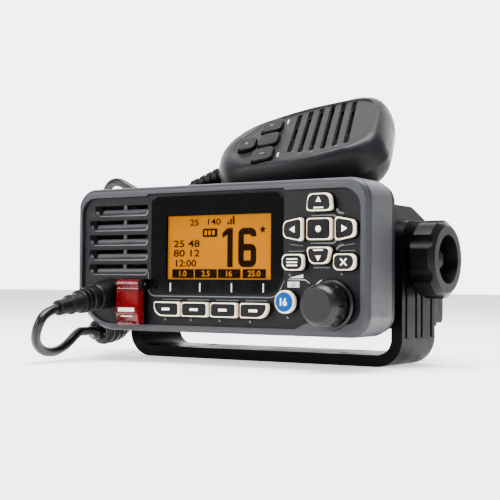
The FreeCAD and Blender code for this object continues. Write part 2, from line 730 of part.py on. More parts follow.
def make_distress_cover():
    """Clear flap: barrel, bowed front wall, side walls and a finger lip."""
    half = cover_width / 2.0 - 0.4
    low = hinge_up - cover_height
    w = cover_wall
    out = hinge_out + 1.8
    outer = [(-0.8, hinge_up - 3.2), (-0.8, low + 0.8), (-2.2, low), (-out + 0.6, low), (-out - 0.7, low + 5.0),
             (-out - 0.2, hinge_up - 2.0), (-hinge_out - 1.0, hinge_up - 0.4)]
    radii = [0.3, 0.3, 0.5, 0.5, 4.0, 1.5, 0.3]
    face = outline_face(outer, radii, lambda u, v: at(distress_x - half, u, v))
    shell = face.extrude(V(2 * half, 0, 0))
    inner = [(0.5, hinge_up - 3.4 - w), (0.5, low + w + 0.6), (-2.0, low + w + 0.2), (-out + 1.6, low + w + 0.2),
             (-out - 0.7 + w, low + 5.0), (-out - 0.2 + w, hinge_up - 2.9)]
    face = outline_face(inner, 0.4, lambda u, v: at(distress_x - half + w, u, v))
    shell = shell.cut(face.extrude(V(2 * (half - w), 0, 0)))
    shell = shell.fuse(rod(at(distress_x - half, -hinge_out, hinge_up), V(1, 0, 0), barrel_radius, 2 * half))
    lip = front_prism(rectangle(distress_x - 4.2, distress_x + 4.2, low - 0.3, low + 1.0), 0.4, -out - 1.0, -out + 1.4)
    shell = shell.fuse(lip)
    return shell.cut(rod(at(distress_x - half - 1, -hinge_out, hinge_up), V(1, 0, 0), pin_radius + running_gap, 2 * half + 2))


def make_distress_button():
    """Guarded push button with a flange behind the plate."""
    button = front_prism(distress_opening(0.0), 0.8, -1.6, key_back)
    button = soften(button, 0.5, lambda e: lies_at(e, "y", panel_front - 1.6))
    return button.fuse(front_prism(distress_opening(0.5), 1.0, plate_back + 0.3, key_back))


drop = math.radians(gland_drop)
gland_axis = V(-0.03, -math.cos(drop), -math.sin(drop)).normalize()
boss_length = 11.0
gland_length = 24.6
boss_root = at(boss_x, plate_front, boss_up)
gland_root = boss_root + gland_axis * boss_length
gland_tip = gland_root + gland_axis * gland_length


def make_cord_boss():
    """Tapered boss on the panel that the cord's gland seats in."""
    profile = [(0, -3.0), (6.9, -3.0), (6.9, 2.0), (6.6, 6.0), (6.2, boss_length - 0.8), (5.6, boss_length), (0, boss_length)]
    boss = turned(profile, boss_root, gland_axis)
    keep = panel_block(boss_x - 20, boss_x + 20, -40, plate_front, boss_up - 20, boss_up + 20)
    neck = rod(at(boss_x, plate_front, boss_up), V(0, 1, 0), 4.4, plate_thickness + 1.0)
    return boss.common(keep).fuse(neck)


def make_cord_gland():
    """Ribbed strain relief: collar, flange rings, body and end sleeve."""
    n = gland_length
    profile = [(0, 0), (5.9, 0), (5.9, 4.2), (5.3, 4.8), (4.3, 5.0), (4.3, 6.2), (5.7, 6.4), (5.7, 7.8), (4.5, 8.0),
               (4.5, 9.0), (5.5, 9.2), (5.3, 10.4), (4.4, 10.6), (4.2, 15.6), (4.6, 15.8), (4.4, 17.2), (3.7, 17.4),
               (3.5, n - 0.5), (3.0, n), (0, n)]
    return turned(profile, gland_root, gland_axis)


def arc_tube(points, radius):
    """Round tube along straight runs joined by the largest tangent arcs the runs allow."""
    count = len(points)
    edges = []
    start = points[0]
    radii = []
    for i in range(1, count - 1):
        here = points[i]
        back = points[i - 1] - here
        onward = points[i + 1] - here
        reach = 0.45 * min(back.Length, onward.Length)
        back.normalize()
        onward.normalize()
        turn = math.pi - back.getAngle(onward)
        bend = reach / math.tan(turn / 2.0)
        radii.append(round(bend, 1))
        middle = (back + onward).normalize()
        apex = here + middle * (bend / math.cos(turn / 2.0) - bend)
        first = here + back * reach
        last = here + onward * reach
        edges.append(Part.LineSegment(start, first).toShape())
        edges.append(Part.Arc(first, apex, last).toShape())
        start = last
    edges.append(Part.LineSegment(start, points[-1]).toShape())
    path = Part.Wire(edges)
    heading = points[1] - points[0]
    ring = Part.Wire([Part.makeCircle(radius, points[0], heading)])
    solid = path.makePipeShell([ring], True, False)
    wanted = math.pi * radius * radius * path.Length
    print("tube", round(path.Length, 1), "radii", radii, "volume ratio", round(solid.Volume / wanted, 4))
    return solid


def bezier(points, s):
    """Point and direction of a cubic curve at s."""
    a, b, c, d = points
    r = 1.0 - s
    place = a * (r ** 3) + b * (3 * r * r * s) + c * (3 * r * s * s) + d * (s ** 3)
    heading = (b - a) * (3 * r * r) + (c - b) * (6 * r * s) + (d - c) * (3 * s * s)
    return place, heading.normalize()


coil_course = [at(-74.5, 1.0, -1.2), at(-80.0, 50.0, -3.0), at(-118.0, 84.0, 2.0), at(-99.0, 48.0, 60.0)]
curl_reference = V(1.0, 0.35, 0.0)
curl_phase = math.radians(200.0)


course_steps = 400


def course_table():
    """Distances along the curls' centre line at equal steps of the curve."""
    table = [0.0]
    last = coil_course[0]
    for i in range(1, course_steps + 1):
        here = bezier(coil_course, i / course_steps)[0]
        table.append(table[-1] + here.distanceToPoint(last))
        last = here
    return table


course_distances = course_table()
course_length = course_distances[-1]


def course_at(share):
    """Place and direction on the curls' centre line at a share of its length."""
    target = min(max(share, 0.0), 1.0) * course_length
    step = min(bisect.bisect_right(course_distances, target), course_steps) - 1
    low, high = course_distances[step], course_distances[step + 1]
    return bezier(coil_course, (step + (target - low) / (high - low)) / course_steps)


def run_out(turn):
    """Stretch of the curls near an end: share of full radius, and extra advance in turns."""
    if turn >= curl_run_out:
        return 1.0, run_out_stretch * curl_run_out / 2.0
    wave = math.pi * turn / curl_run_out
    extra = turn / 2.0 + curl_run_out / (2.0 * math.pi) * math.sin(wave)
    return math.sin(wave / 2.0) ** 2, run_out_stretch * extra


def curl_point(turn):
    """Place on the curls' helix after a number of turns."""
    share_a, extra_a = run_out(turn)
    share_b, extra_b = run_out(curl_turns - turn)
    whole = run_out_stretch * curl_run_out
    travel = turn + extra_a + whole / 2.0 - extra_b
    place, heading = course_at(travel / (curl_turns + whole))
    across = (curl_reference - heading * curl_reference.dot(heading)).normalize()
    upward = heading.cross(across)
    angle = 2 * math.pi * turn + curl_phase
    radius = curl_radius * share_a * share_b
    return place + (across * math.cos(angle) + upward * math.sin(angle)) * radius


def curl_heading(turn):
    """Direction of the helix at a number of turns."""
    if turn <= 0.0:
        return course_at(0.0)[1]
    if turn >= curl_turns:
        return course_at(1.0)[1]
    step = 0.002
    return (curl_point(turn + step) - curl_point(turn - step)).normalize()


def biarc(p0, t0, p1, t1):
    """Two tangent arcs between two points with given directions."""
    chord = p1 - p0
    both = t0 + t1
    a = 2.0 * (t0.dot(t1) - 1.0)
    b = -2.0 * chord.dot(both)
    c = chord.dot(chord)
    reach = (-b - math.sqrt(b * b - 4.0 * a * c)) / (2.0 * a)
    knee = p0 + t0 * reach
    heel = p1 - t1 * reach
    joint = (knee + heel) * 0.5
    arcs = []
    for start, corner, end in ((p0, knee, joint), (joint, heel, p1)):
        middle = (start + end) * 0.5
        rise = corner - middle
        half = start.distanceToPoint(end) / 2.0
        radius = reach * half / rise.Length
        sag = radius - math.sqrt(radius * radius - half * half)
        arcs.append(Part.Arc(start, middle + rise.normalize() * sag, end).toShape())
    return arcs


curl_lead = 2.0 * cord_radius


def curl_gap():
    """Least gap of the curls to themselves, measured on points."""
    per_turn = 24
    points = [curl_point(i / per_turn) for i in range(curl_turns * per_turn + 1)]
    least = 1e9
    for i, here in enumerate(points):
        for other in points[i + per_turn // 2:i + 2 * per_turn]:
            least = min(least, here.distanceToPoint(other))
    return least - 2.0 * cord_radius


def make_curls():
    """The curly stretch: one unbroken helix with a straight lead at each end."""
    start, end = curl_point(0.0), curl_point(float(curl_turns))
    first, last = curl_heading(0.0), curl_heading(float(curl_turns))
    edges = [Part.LineSegment(start - first * curl_lead, start).toShape()]
    for i in range(4 * curl_turns):
        a, b = i / 4.0, (i + 1) / 4.0
        edges.extend(biarc(curl_point(a), curl_heading(a), curl_point(b), curl_heading(b)))
    edges.append(Part.LineSegment(end, end + last * curl_lead).toShape())
    ring = Part.Wire([Part.makeCircle(cord_radius, start - first * curl_lead, first)])
    path = Part.Wire(edges)
    solid = path.makePipeShell([ring], True, False)
    print("curls: course", round(course_length, 1), "gap", round(curl_gap(), 2), "cord", round(path.Length, 1),
          "volume ratio", round(solid.Volume / (math.pi * cord_radius ** 2 * path.Length), 4))
    return solid


def mic_rotation():
    """Turn of the microphone's own frame: length, width, face normal."""
    turn = FreeCAD.Rotation(V(0, 0, 1), mic_heading)
    rise = FreeCAD.Rotation(V(0, 1, 0), -mic_rise)
    lean = FreeCAD.Rotation(V(1, 0, 0), mic_lean)
    return turn.multiply(rise).multiply(lean)


def mic_seat(shells):
    """Placement that rests the microphone's shells on the body's top."""
    table = Part.makePlane(400, 400, V(-200, -200, -200))
    heights = []
    for shell in shells:
        turned_shell = shell.copy()
        turned_shell.Placement = FreeCAD.Placement(V(mic_x, mic_y, 0), mic_rotation())
        heights.append(turned_shell.distToShape(table)[0] - 200)
    lowest = min(heights)
    return FreeCAD.Placement(V(mic_x, mic_y, panel_base + chassis_top + seat_gap - lowest), mic_rotation())


mic_top_end = 27.5
mic_tail_end = mic_top_end - mic_length

tail_slope = 0.6


def roomy_radii(points, share, most):
    """Largest tangent arcs that a closed outline's sides allow, up to a limit."""
    radii = []
    count = len(points)
    for i in range(count):
        back = points[i - 1] - points[i]
        onward = points[(i + 1) % count] - points[i]
        reach = share * min(back.Length, onward.Length)
        radii.append(min(most[i], reach * math.tan(back.getAngle(onward) / 2.0)))
    return radii


def mic_outline(inset, level):
    """Egg-shaped outline of the microphone at one depth, drawn in by an inset, more at the tail."""
    half = mic_width / 2.0 - inset
    top = mic_top_end - inset
    tail = mic_tail_end + inset * (1.0 + tail_slope)
    belly = mic_tail_end + 0.5 * mic_length
    side = [(tail, 0.30), (tail + 10.0, 0.77), (belly, 1.0), (top, 0.93)]
    corners = [V(x, -share * half, level) for x, share in side]
    corners.append(V(top + mic_end_bow, 0.0, level))
    corners += [V(x, share * half, level) for x, share in reversed(side)]
    limits = [400.0, 400.0, 400.0, mic_corner, 400.0, mic_corner, 400.0, 400.0, 400.0]
    return Part.Wire(corner_path(corners, roomy_radii(corners, 0.47, limits)))


def mic_loft(levels):
    """Body lofted through the microphone's outlines; levels lists (inset, depth)."""
    return Part.makeLoft([mic_outline(inset, level) for inset, level in levels], True, True)


def rolled_levels(inset, more, start, depth):
    """Levels of a rolled side: a quarter ellipse from one depth to another, drawn in on the way."""
    turns = [math.radians(90.0 * i / rolled_steps) for i in range(rolled_steps + 1)]
    return [(inset + more * (1.0 - math.cos(a)), start + depth * math.sin(a)) for a in turns]


def make_mic_front():
    """Front shell of the microphone: rolled side, sunk face, speaker slots and key holes."""
    deep = -mic_front_depth
    shell = mic_loft(rolled_levels(0.0, 5.0, deep, mic_front_depth))
    roof = -mic_wall - face_sink
    hollow = mic_loft([(mic_wall, deep - 1.0)] + rolled_levels(mic_wall, 5.0, deep, mic_front_depth + roof))
    shell = shell.cut(hollow)
    shell = shell.cut(mic_loft([(6.4, -face_sink), (5.7, 0.2)]))
    for i, (low, high, through_low, through_high) in enumerate(MIC_SLOTS):
        x = first_slot - slot_step * i
        shell = shell.cut(slot_prism(x, groove_half, low, high, -face_sink - 0.7, 1.0))
        shell = shell.cut(slot_prism(x, groove_half - 0.4, through_low, through_high, -mic_wall - 2.0, 1.0))
    for name in MIC_KEYS:
        shell = shell.cut(mic_key_prism(name, key_gap, -mic_wall - 2.0, 1.0))
        shell = shell.cut(mic_key_prism(name, 0.9, deep - 1.0, -mic_wall - 1.0))
    return shell.cut(relief_hole())


def slot_prism(x, half, low, high, bottom, top):
    """Cutter for one slot with round ends, across the microphone."""
    corners = [V(x - half, low, bottom), V(x + half, low, bottom), V(x + half, high, bottom), V(x - half, high, bottom)]
    face = Part.Face(Part.Wire(corner_path(corners, [0.9 * half] * 4)))
    return face.extrude(V(0, 0, top - bottom))


mic_corner = 18.0
rolled_steps = 5
speaker_x = -1.8
speaker_w = 1.0
mic_end_bow = 2.0
face_sink = 0.5
first_slot = 11.8
slot_step = 5.5
groove_half = 1.25
MIC_SLOTS = [(-20.6, 23.0, -11.4, 14.7), (-20.9, 24.2, -14.8, 17.3), (-21.3, 24.4, -19.4, 22.6),
             (-20.6, 23.3, -14.7, 20.4), (-19.9, 23.0, -12.6, 16.4), (-17.4, 21.8, -3.6, 7.6)]
MIC_KEYS = {
    "mic_up_key": (-28.6, 12.9, 10.6, 12.0),
    "mic_down_key": (-38.8, -1.6, 9.0, 11.8),
    "mic_mid_key": (-28.0, -1.6, 10.2, 12.2),
    "mic_low_key": (-28.6, -16.3, 10.6, 12.6),
}


def mic_key_prism(name, gap, low, high):
    """Prism of one microphone key, grown by a gap."""
    x, y, length, width = MIC_KEYS[name]
    corners = [V(x - length / 2 - gap, y - width / 2 - gap, low), V(x + length / 2 + gap, y - width / 2 - gap, low),
               V(x + length / 2 + gap, y + width / 2 + gap, low), V(x - length / 2 - gap, y + width / 2 + gap, low)]
    face = Part.Face(Part.Wire(corner_path(corners, [3.2 + gap] * 4)))
    return face.extrude(V(0, 0, high - low))


def make_mic_key(name):
    """Rubber key of the microphone with its flange under the face."""
    cap = mic_key_prism(name, 0.0, -mic_wall - 2.6, 1.5)
    cap = soften(cap, 0.7, lambda e: lies_at(e, "z", 1.5))
    return cap.fuse(mic_key_prism(name, 0.5, -mic_wall - 2.6, -mic_wall - 1.1))


talk_left = -9.0
talk_right = 21.0
talk_out = 2.2
talk_depth = 6.0
talk_low = -mic_front_depth - 9.6
talk_high = -mic_front_depth - 1.0


def talk_block(gap, inner, outer):
    """Prism of the talk key on the microphone's side, grown by a gap."""
    half = mic_width / 2.0
    corners = [V(talk_left - gap, half - inner, talk_low - gap), V(talk_right + gap, half - inner, talk_low - gap),
               V(talk_right + gap, half - inner, talk_high + gap), V(talk_left - gap, half - inner, talk_high + gap)]
    face = Part.Face(Part.Wire(corner_path(corners, [3.0 + gap] * 4)))
    return face.extrude(V(0, inner + outer, 0))


def make_talk_button():
    """Push-to-talk key."""
    return talk_block(0.0, talk_depth, talk_out)


def make_mic_rear():
    """Rear shell of the microphone, with a post for the hanger stud."""
    depth = mic_front_depth + mic_rear_depth
    seam = -mic_front_depth
    shell = mic_loft(rolled_levels(0.0, 11.0, seam, -mic_rear_depth))
    back = mic_rear_depth - mic_wall - 0.4
    hollow = mic_loft([(mic_wall, seam + 1.0)] + rolled_levels(mic_wall, 11.0, seam, -back))
    shell = shell.cut(hollow)
    shell = shell.cut(talk_block(key_gap, talk_depth + talk_travel + 0.5, 6.0))
    for x, y in mic_posts:
        post = Part.makeCylinder(2.4, mic_rear_depth - 4.0, V(x, y, -depth + 1.6))
        shell = shell.fuse(post)
        shell = shell.cut(Part.makeCylinder(1.3, 12.0, V(x, y, -depth - 1.0)))
    return shell.cut(relief_hole())


mic_posts = [(-36.0, 0.0), (14.0, -16.0), (14.0, 13.0)]


def make_hanger_stud():
    """Mushroom stud on the microphone's back."""
    depth = mic_front_depth + mic_rear_depth
    profile = [(0, 0), (5.0, 0), (4.6, 3.4), (8.0, 4.0), (8.0, 6.4), (7.2, 7.2), (0, 7.2)]
    return turned(profile, V(stud_x, 0, -depth), V(0, 0, -1))


stud_x = -6.0
mic_board_level = -mic_wall - 2.6 - mic_key_travel - seat_gap


def make_mic_board():
    """Circuit board under the microphone's keys."""
    corners = [V(-46.0, -11.0, mic_board_level), V(-20.5, -18.0, mic_board_level), V(-20.5, 18.0, mic_board_level),
               V(-46.0, 11.0, mic_board_level)]
    face = Part.Face(Part.Wire(corner_path(corners, [2.0] * 4)))
    board = face.extrude(V(0, 0, -board_thickness))
    return board


def make_mic_speaker():
    """Small loudspeaker behind the microphone's slots."""
    profile = [(0, 0.4), (14.0, 0.4), (16.0, 0), (17.0, 0), (17.0, 2.0), (8.0, 4.5), (8.0, 8.0), (0, 8.0)]
    return turned(profile, V(speaker_x, speaker_w, -mic_wall - face_sink - seat_gap), V(0, 0, -1))


relief_root = V(mic_tail_end + 3.0, 0, -mic_front_depth)
relief_axis = V(-1.0, 0.0, -0.16).normalize()
relief_length = 20.0
relief_radius = 4.8


def relief_hole():
    """Cutter for the relief's seat in both microphone shells."""
    return rod(relief_root, relief_axis, relief_radius + running_gap, 9.0)


def make_mic_relief():
    """Ribbed strain relief at the microphone's tail."""
    profile = [(0, 0), (relief_radius, 0)]
    for i in range(4):
        h = 3.0 + 3.8 * i
        r = relief_radius - 0.1 - 0.35 * i
        profile += [(r, h), (r - 1.2, h + 0.3), (r - 1.25, h + 1.5), (r - 0.2, h + 1.8)]
    profile += [(3.2, relief_length), (0, relief_length)]
    return turned(profile, relief_root, relief_axis)


def cord_loop_points():
    """Route from the gland's end to the curls: out, round to the left and back below."""
    end = curl_point(0.0) - curl_heading(0.0) * curl_lead
    return [gland_tip, gland_tip + gland_axis * 7.5, at(-60.0, -46.0, 3.0), at(-65.0, -42.5, -3.6),
            at(-69.0, -34.5, -8.4), at(-71.3, -24.5, -10.2), at(-73.0, -14.0, -8.0), end]


def cord_tail_points(seat):
    """Route from the curls' far end, over the arm and the body's top, to the microphone."""
    tip = seat.multVec(relief_root + relief_axis * (relief_length + seat_gap))
    axis = seat.Rotation.multVec(relief_axis)
    heading = curl_heading(float(curl_turns))
    start = curl_point(float(curl_turns)) + heading * curl_lead
    return [start, start + heading * 9.0, at(-86.0, 38.0, 75.0), at(-75.0, 39.0, 69.0), at(-64.0, 42.0, 64.0),
            at(-53.0, 43.5, 65.5), tip + axis * 6.0, tip]


def main():
    """Build and write every node."""
    os.makedirs("parts", exist_ok=True)
    down = V(0, 0, 1)
    low = panel_base + chassis_floor_lift
    save("mounting_bracket", make_bracket())
    save("front_panel", make_front_panel())
    save("panel_gasket", make_gasket())
    save("chassis", make_chassis())
    save("bottom_cover", make_bottom_cover())
    save("cover_screws", make_screws([(V(x, y, low - cover_thickness), down, 1.2, 9.0, 2.6, 1.4)
                                      for x, y in cover_screw_places]))
    rear_of_flange = chassis_front + flange_thickness
    save("panel_screws", make_screws([(at(x, rear_of_flange, z), V(0, -1, 0), 1.2, flange_thickness + 7.0, 2.8, 1.8)
                                      for x, z in corner_posts()]))
    board_front, board_back = cavity_front + 3.0, cavity_back - 1.0
    board_corners = [V(-board_reach, board_front, 0), V(board_reach, board_front, 0), V(board_reach, board_back, 0),
                     V(-board_reach, board_back, 0)]
    board = Part.Face(Part.Wire(corner_path(board_corners, [2.0] * 4)))
    board.translate(V(0, 0, panel_base + board_level))
    save("main_board", board.extrude(V(0, 0, board_thickness)))
    can = block(-34.0, 6.0, -20.0, 22.0, panel_base + board_level - 8.0, panel_base + board_level)
    save("shield_can", soften(can, 1.2, lambda e: abs(e.BoundBox.ZLength - 8.0) < 1e-4))
    save("front_board", make_front_board())
    save("keypad_mat", make_keypad_mat())
    save("display_module", make_display())
    save("display_window", make_window())
    save("speaker", make_speaker())
    for name, (corners, radii) in KEYS.items():
        save(name, make_key(corners, radii))
    save("channel_key", make_channel_key())
    save("dial_collar", make_dial_collar())
    save("dial_encoder", make_dial_encoder())
    save("dial_plunger", make_dial_plunger())
    save("dial_shaft", make_dial_shaft())
    save("dial_knob", make_dial_knob())
    save("distress_frame", make_distress_frame())
    save("cover_pin", make_cover_pin())
    save("distress_cover", make_distress_cover())
    save("distress_button", make_distress_button())
    rear = chassis_front + chassis_depth
    socket = turned([(0, -8.0), (5.6, -8.0), (5.6, 0), (9.5, 0), (9.5, 1.6), (7.9, 1.6), (7.9, 13.0), (2.4, 13.0),
                     (2.4, 6.0), (0, 6.0)], at(antenna_x, rear, rear_port_z), V(0, 1, 0))
    save("antenna_socket", socket)
    glands = [turned([(0, -6.0), (4.1, -6.0), (4.1, 0), (6.0, 0), (6.0, 2.0), (4.4, 7.0), (2.6, 7.0), (2.6, -2.0), (0, -2.0)],
                     at(x, rear, rear_port_z), V(0, 1, 0)) for x in gland_places]
    save("rear_glands", Part.makeCompound(glands))
    save("side_inserts", make_side_inserts())
    save("side_spacers", make_side_spacers())
    for side, sign in (("left", -1), ("right", 1)):
        save(side + "_clamp_knob", make_knob(sign))
        save(side + "_knob_washer", make_washer(sign))
    save("cord_boss", make_cord_boss())
    save("cord_gland", make_cord_gland())
    save("mic_cord_loop", arc_tube(cord_loop_points(), cord_radius))
    save("mic_cord_curls", make_curls())
    rear_shell = make_mic_rear()
    front_shell = make_mic_front()
    seat = mic_seat([front_shell, rear_shell])
    print("microphone seat", seat.Base)

    def mic_place(shape):
        """Move a shape from the microphone's own frame to its place on the radio."""
        result = shape.copy()
        result.Placement = seat.multiply(result.Placement)
        return result

    save("mic_cord_tail", arc_tube(cord_tail_points(seat), cord_radius))
    save("mic_front_shell", mic_place(front_shell))
    save("mic_rear_shell", mic_place(rear_shell))
    save("mic_board", mic_place(make_mic_board()))
    save("mic_speaker", mic_place(make_mic_speaker()))
    save("talk_button", mic_place(make_talk_button()))
    for name in MIC_KEYS:
        save(name, mic_place(make_mic_key(name)))
    save("hanger_stud", mic_place(make_hanger_stud()))
    save("mic_relief", mic_place(make_mic_relief()))
    depth = mic_front_depth + mic_rear_depth
    save("mic_screws", mic_place(make_screws([(V(x, y, -depth), down, 1.2, 9.0, 2.2, 1.0) for x, y in mic_posts])))


main()
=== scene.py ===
"""Looks of a fixed-mount marine radio with a hand microphone on a U-shaped bracket.

Sizes are in millimetres unless a name says otherwise; MM turns them into Blender's metres.
Places on the front panel are given as X, depth behind the panel's front, and height above
the panel's lower edge, and are worked out from the frame.
"""

import logging
import math
from collections.abc import Callable
from dataclasses import dataclass, field
from enum import Enum

import bmesh
import bpy
from mathutils import Matrix, Vector

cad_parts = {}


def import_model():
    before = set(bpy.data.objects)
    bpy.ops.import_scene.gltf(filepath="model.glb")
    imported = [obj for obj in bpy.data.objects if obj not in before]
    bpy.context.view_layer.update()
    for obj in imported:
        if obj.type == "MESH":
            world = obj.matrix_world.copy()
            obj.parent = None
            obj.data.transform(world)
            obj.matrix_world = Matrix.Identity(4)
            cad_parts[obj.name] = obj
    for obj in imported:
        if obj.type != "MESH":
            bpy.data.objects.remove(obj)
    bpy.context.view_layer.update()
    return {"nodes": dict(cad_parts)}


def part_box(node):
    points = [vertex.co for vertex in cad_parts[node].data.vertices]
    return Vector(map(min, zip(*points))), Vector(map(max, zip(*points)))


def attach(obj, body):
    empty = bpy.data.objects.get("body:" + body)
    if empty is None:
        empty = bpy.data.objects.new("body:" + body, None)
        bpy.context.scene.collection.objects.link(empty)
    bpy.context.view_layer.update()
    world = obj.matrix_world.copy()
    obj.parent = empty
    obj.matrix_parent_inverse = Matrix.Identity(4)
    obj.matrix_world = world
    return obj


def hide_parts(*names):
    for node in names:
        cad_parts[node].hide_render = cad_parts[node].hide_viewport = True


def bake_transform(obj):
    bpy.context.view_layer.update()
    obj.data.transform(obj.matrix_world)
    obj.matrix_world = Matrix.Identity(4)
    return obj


logging.basicConfig(level=logging.INFO, format="%(message)s")
log = logging.getLogger("scene")

MM = 0.001
# The panel's sunk face lies this far behind its front, in millimetres
FACE_DEPTH = 1.4
# Depth of moulded grain and of brushed marks, in metres
GRAIN_DEPTH = 0.00008
BRUSHED_DEPTH = 0.00005
Pair = tuple[float, float]
Place = tuple[float, float, float]
Colour = tuple[float, float, float]
Lift = Callable[[float, float], Vector]


class Body(str, Enum):
    """Bodies of the frame that new pieces ride on."""

    RADIO = "radio"
    MICROPHONE = "microphone"
    DIAL = "dial"
    COVER = "distress_cover"


class Slot(str, Enum):
    """The record's material slots, passed along with the added pieces."""

    BLACK_KEY = "key_black"
    BLUE_KEY = "key_blue"
    DISPLAY = "display_orange"
    WINDOW = "window_clear"
    PANEL = "panel_charcoal"
    CORD = "cord_black"


# Shader building


class Shader:
    """Small writer for one material's nodes."""

    # Places of the colour mixer's sockets, whose names aren't their own
    MIX_FACTOR = 0
    MIX_FIRST = 6
    MIX_SECOND = 7
    MIX_RESULT = 2

    def __init__(self, name: str) -> None:
        """Start an empty material with its output and main shader.

        Args:
            name: Name of the material.
        """
        self.material = bpy.data.materials.new(name)
        self.material.use_nodes = True
        self.tree = self.material.node_tree
        self.tree.nodes.clear()
        self.output = self.tree.nodes.new("ShaderNodeOutputMaterial")
        self.main = self.tree.nodes.new("ShaderNodeBsdfPrincipled")
        self.tree.links.new(self.main.outputs["BSDF"], self.output.inputs["Surface"])
        self.coordinates = self.tree.nodes.new("ShaderNodeTexCoord").outputs["Object"]

    def link(self, source: bpy.types.NodeSocket, target: bpy.types.NodeSocket) -> None:
        """Join two sockets."""
        self.tree.links.new(source, target)

    def feed(self, name: str, source: bpy.types.NodeSocket) -> None:
        """Join a socket to one of the main shader's own."""
        self.link(source, self.main.inputs[name])

    def noise(self, scale: float, detail: float = 2.0,
              stretch: tuple[float, float, float] | None = None) -> bpy.types.NodeSocket:
        """Noise on the object's own coordinates.

        Args:
            scale: Size of the pattern, in repeats per metre.
            detail: Octaves.
            stretch: Scale of each axis, for brushed marks.

        Returns:
            The factor socket.
        """
        texture = self.tree.nodes.new("ShaderNodeTexNoise")
        texture.inputs["Scale"].default_value = scale
        texture.inputs["Detail"].default_value = detail
        source = self.coordinates
        if stretch is not None:
            mapping = self.tree.nodes.new("ShaderNodeMapping")
            mapping.inputs["Scale"].default_value = stretch
            self.link(source, mapping.inputs["Vector"])
            source = mapping.outputs["Vector"]
        self.link(source, texture.inputs["Vector"])
        return texture.outputs["Fac"]

    def ramp(self, source: bpy.types.NodeSocket, low: float, high: float, start: float = 0.0,
             end: float = 1.0) -> bpy.types.NodeSocket:
        """Turn a range of values into another, clamped.

        Args:
            source: Value to change.
            low: Value that becomes start.
            high: Value that becomes end.
            start: First result.
            end: Last result.

        Returns:
            The result socket.
        """
        node = self.tree.nodes.new("ShaderNodeMapRange")
        node.clamp = True
        self.link(source, node.inputs["Value"])
        node.inputs["From Min"].default_value = low
        node.inputs["From Max"].default_value = high
        node.inputs["To Min"].default_value = start
        node.inputs["To Max"].default_value = end
        return node.outputs["Result"]

    def mix(self, factor: bpy.types.NodeSocket, first: Colour, second: Colour) -> bpy.types.NodeSocket:
        """Colour between two by a factor.

        Args:
            factor: Share of the second colour.
            first: Colour at a factor of 0.
            second: Colour at a factor of 1.

        Returns:
            The colour socket.
        """
        node = self.tree.nodes.new("ShaderNodeMix")
        node.data_type = "RGBA"
        self.link(factor, node.inputs[self.MIX_FACTOR])
        node.inputs[self.MIX_FIRST].default_value = (*first, 1.0)
        node.inputs[self.MIX_SECOND].default_value = (*second, 1.0)
        return node.outputs[self.MIX_RESULT]

    def mix_with(self, factor: bpy.types.NodeSocket, first: bpy.types.NodeSocket,
                 second: Colour) -> bpy.types.NodeSocket:
        """Colour between a socket's and a plain one by a factor.

        Args:
            factor: Share of the second colour.
            first: Socket that gives the first colour.
            second: The plain colour.

        Returns:
            The colour socket.
        """
        socket = self.mix(factor, second, second)
        self.link(first, socket.node.inputs[self.MIX_FIRST])
        return socket

    def axis(self, source: bpy.types.NodeSocket, name: str) -> bpy.types.NodeSocket:
        """One coordinate of a vector socket.

        Args:
            source: The vector.
            name: X, Y or Z.

        Returns:
            The value socket.
        """
        node = self.tree.nodes.new("ShaderNodeSeparateXYZ")
        self.link(source, node.inputs["Vector"])
        return node.outputs[name]

    def product(self, first: bpy.types.NodeSocket, second: bpy.types.NodeSocket) -> bpy.types.NodeSocket:
        """One value times another.

        Args:
            first: One value.
            second: The other.

        Returns:
            The value socket.
        """
        node = self.tree.nodes.new("ShaderNodeMath")
        node.operation = "MULTIPLY"
        self.link(first, node.inputs[0])
        self.link(second, node.inputs[1])
        return node.outputs["Value"]

    def normal(self) -> bpy.types.NodeSocket:
        """The surface's own direction in the object's frame."""
        source = self.tree.nodes.new("ShaderNodeTexCoord")
        return source.outputs["Normal"]

    def bump(self, height: bpy.types.NodeSocket, strength: float, distance: float) -> None:
        """Relief on the main shader.

        Args:
            height: Value of the relief.
            strength: Share of the relief that shows.
            distance: Depth of the relief in metres.
        """
        node = self.tree.nodes.new("ShaderNodeBump")
        node.inputs["Strength"].default_value = strength
        node.inputs["Distance"].default_value = distance
        self.link(height, node.inputs["Height"])
        self.link(node.outputs["Normal"], self.main.inputs["Normal"])

    def set(self, name: str, value: float | tuple[float, float, float, float]) -> None:
        """Set a plain value on the main shader's own socket."""
        self.main.inputs[name].default_value = value


def tone(colour: Colour, factor: float) -> Colour:
    """A colour made lighter or darker by a factor."""
    return tuple(c * factor for c in colour)


@dataclass(frozen=True)
class MouldedPlastic:
    """Fine spark-textured plastic with soft colour variation and slight handling marks."""

    name: str
    colour: Colour
    roughness: float = 0.42
    grain: float = 2600.0
    relief: float = 0.25
    variation: float = 0.16
    shine: float = 0.3
    smudge: float = 0.07

    def build(self) -> bpy.types.Material:
        """Make the material.

        Returns:
            The material.
        """
        shader = Shader(self.name)
        light = tone(self.colour, 1.0 + self.variation)
        dark = tone(self.colour, 1.0 - self.variation)
        shader.feed("Base Color", shader.mix(shader.noise(38.0, 3.0), dark, light))
        smooth = self.roughness - self.smudge
        rough = self.roughness + self.smudge
        shader.feed("Roughness", shader.ramp(shader.noise(95.0, 4.0), 0.35, 0.7, smooth, rough))
        shader.bump(shader.noise(self.grain, 2.0), self.relief, GRAIN_DEPTH)
        shader.set("Specular IOR Level", self.shine)
        return shader.material


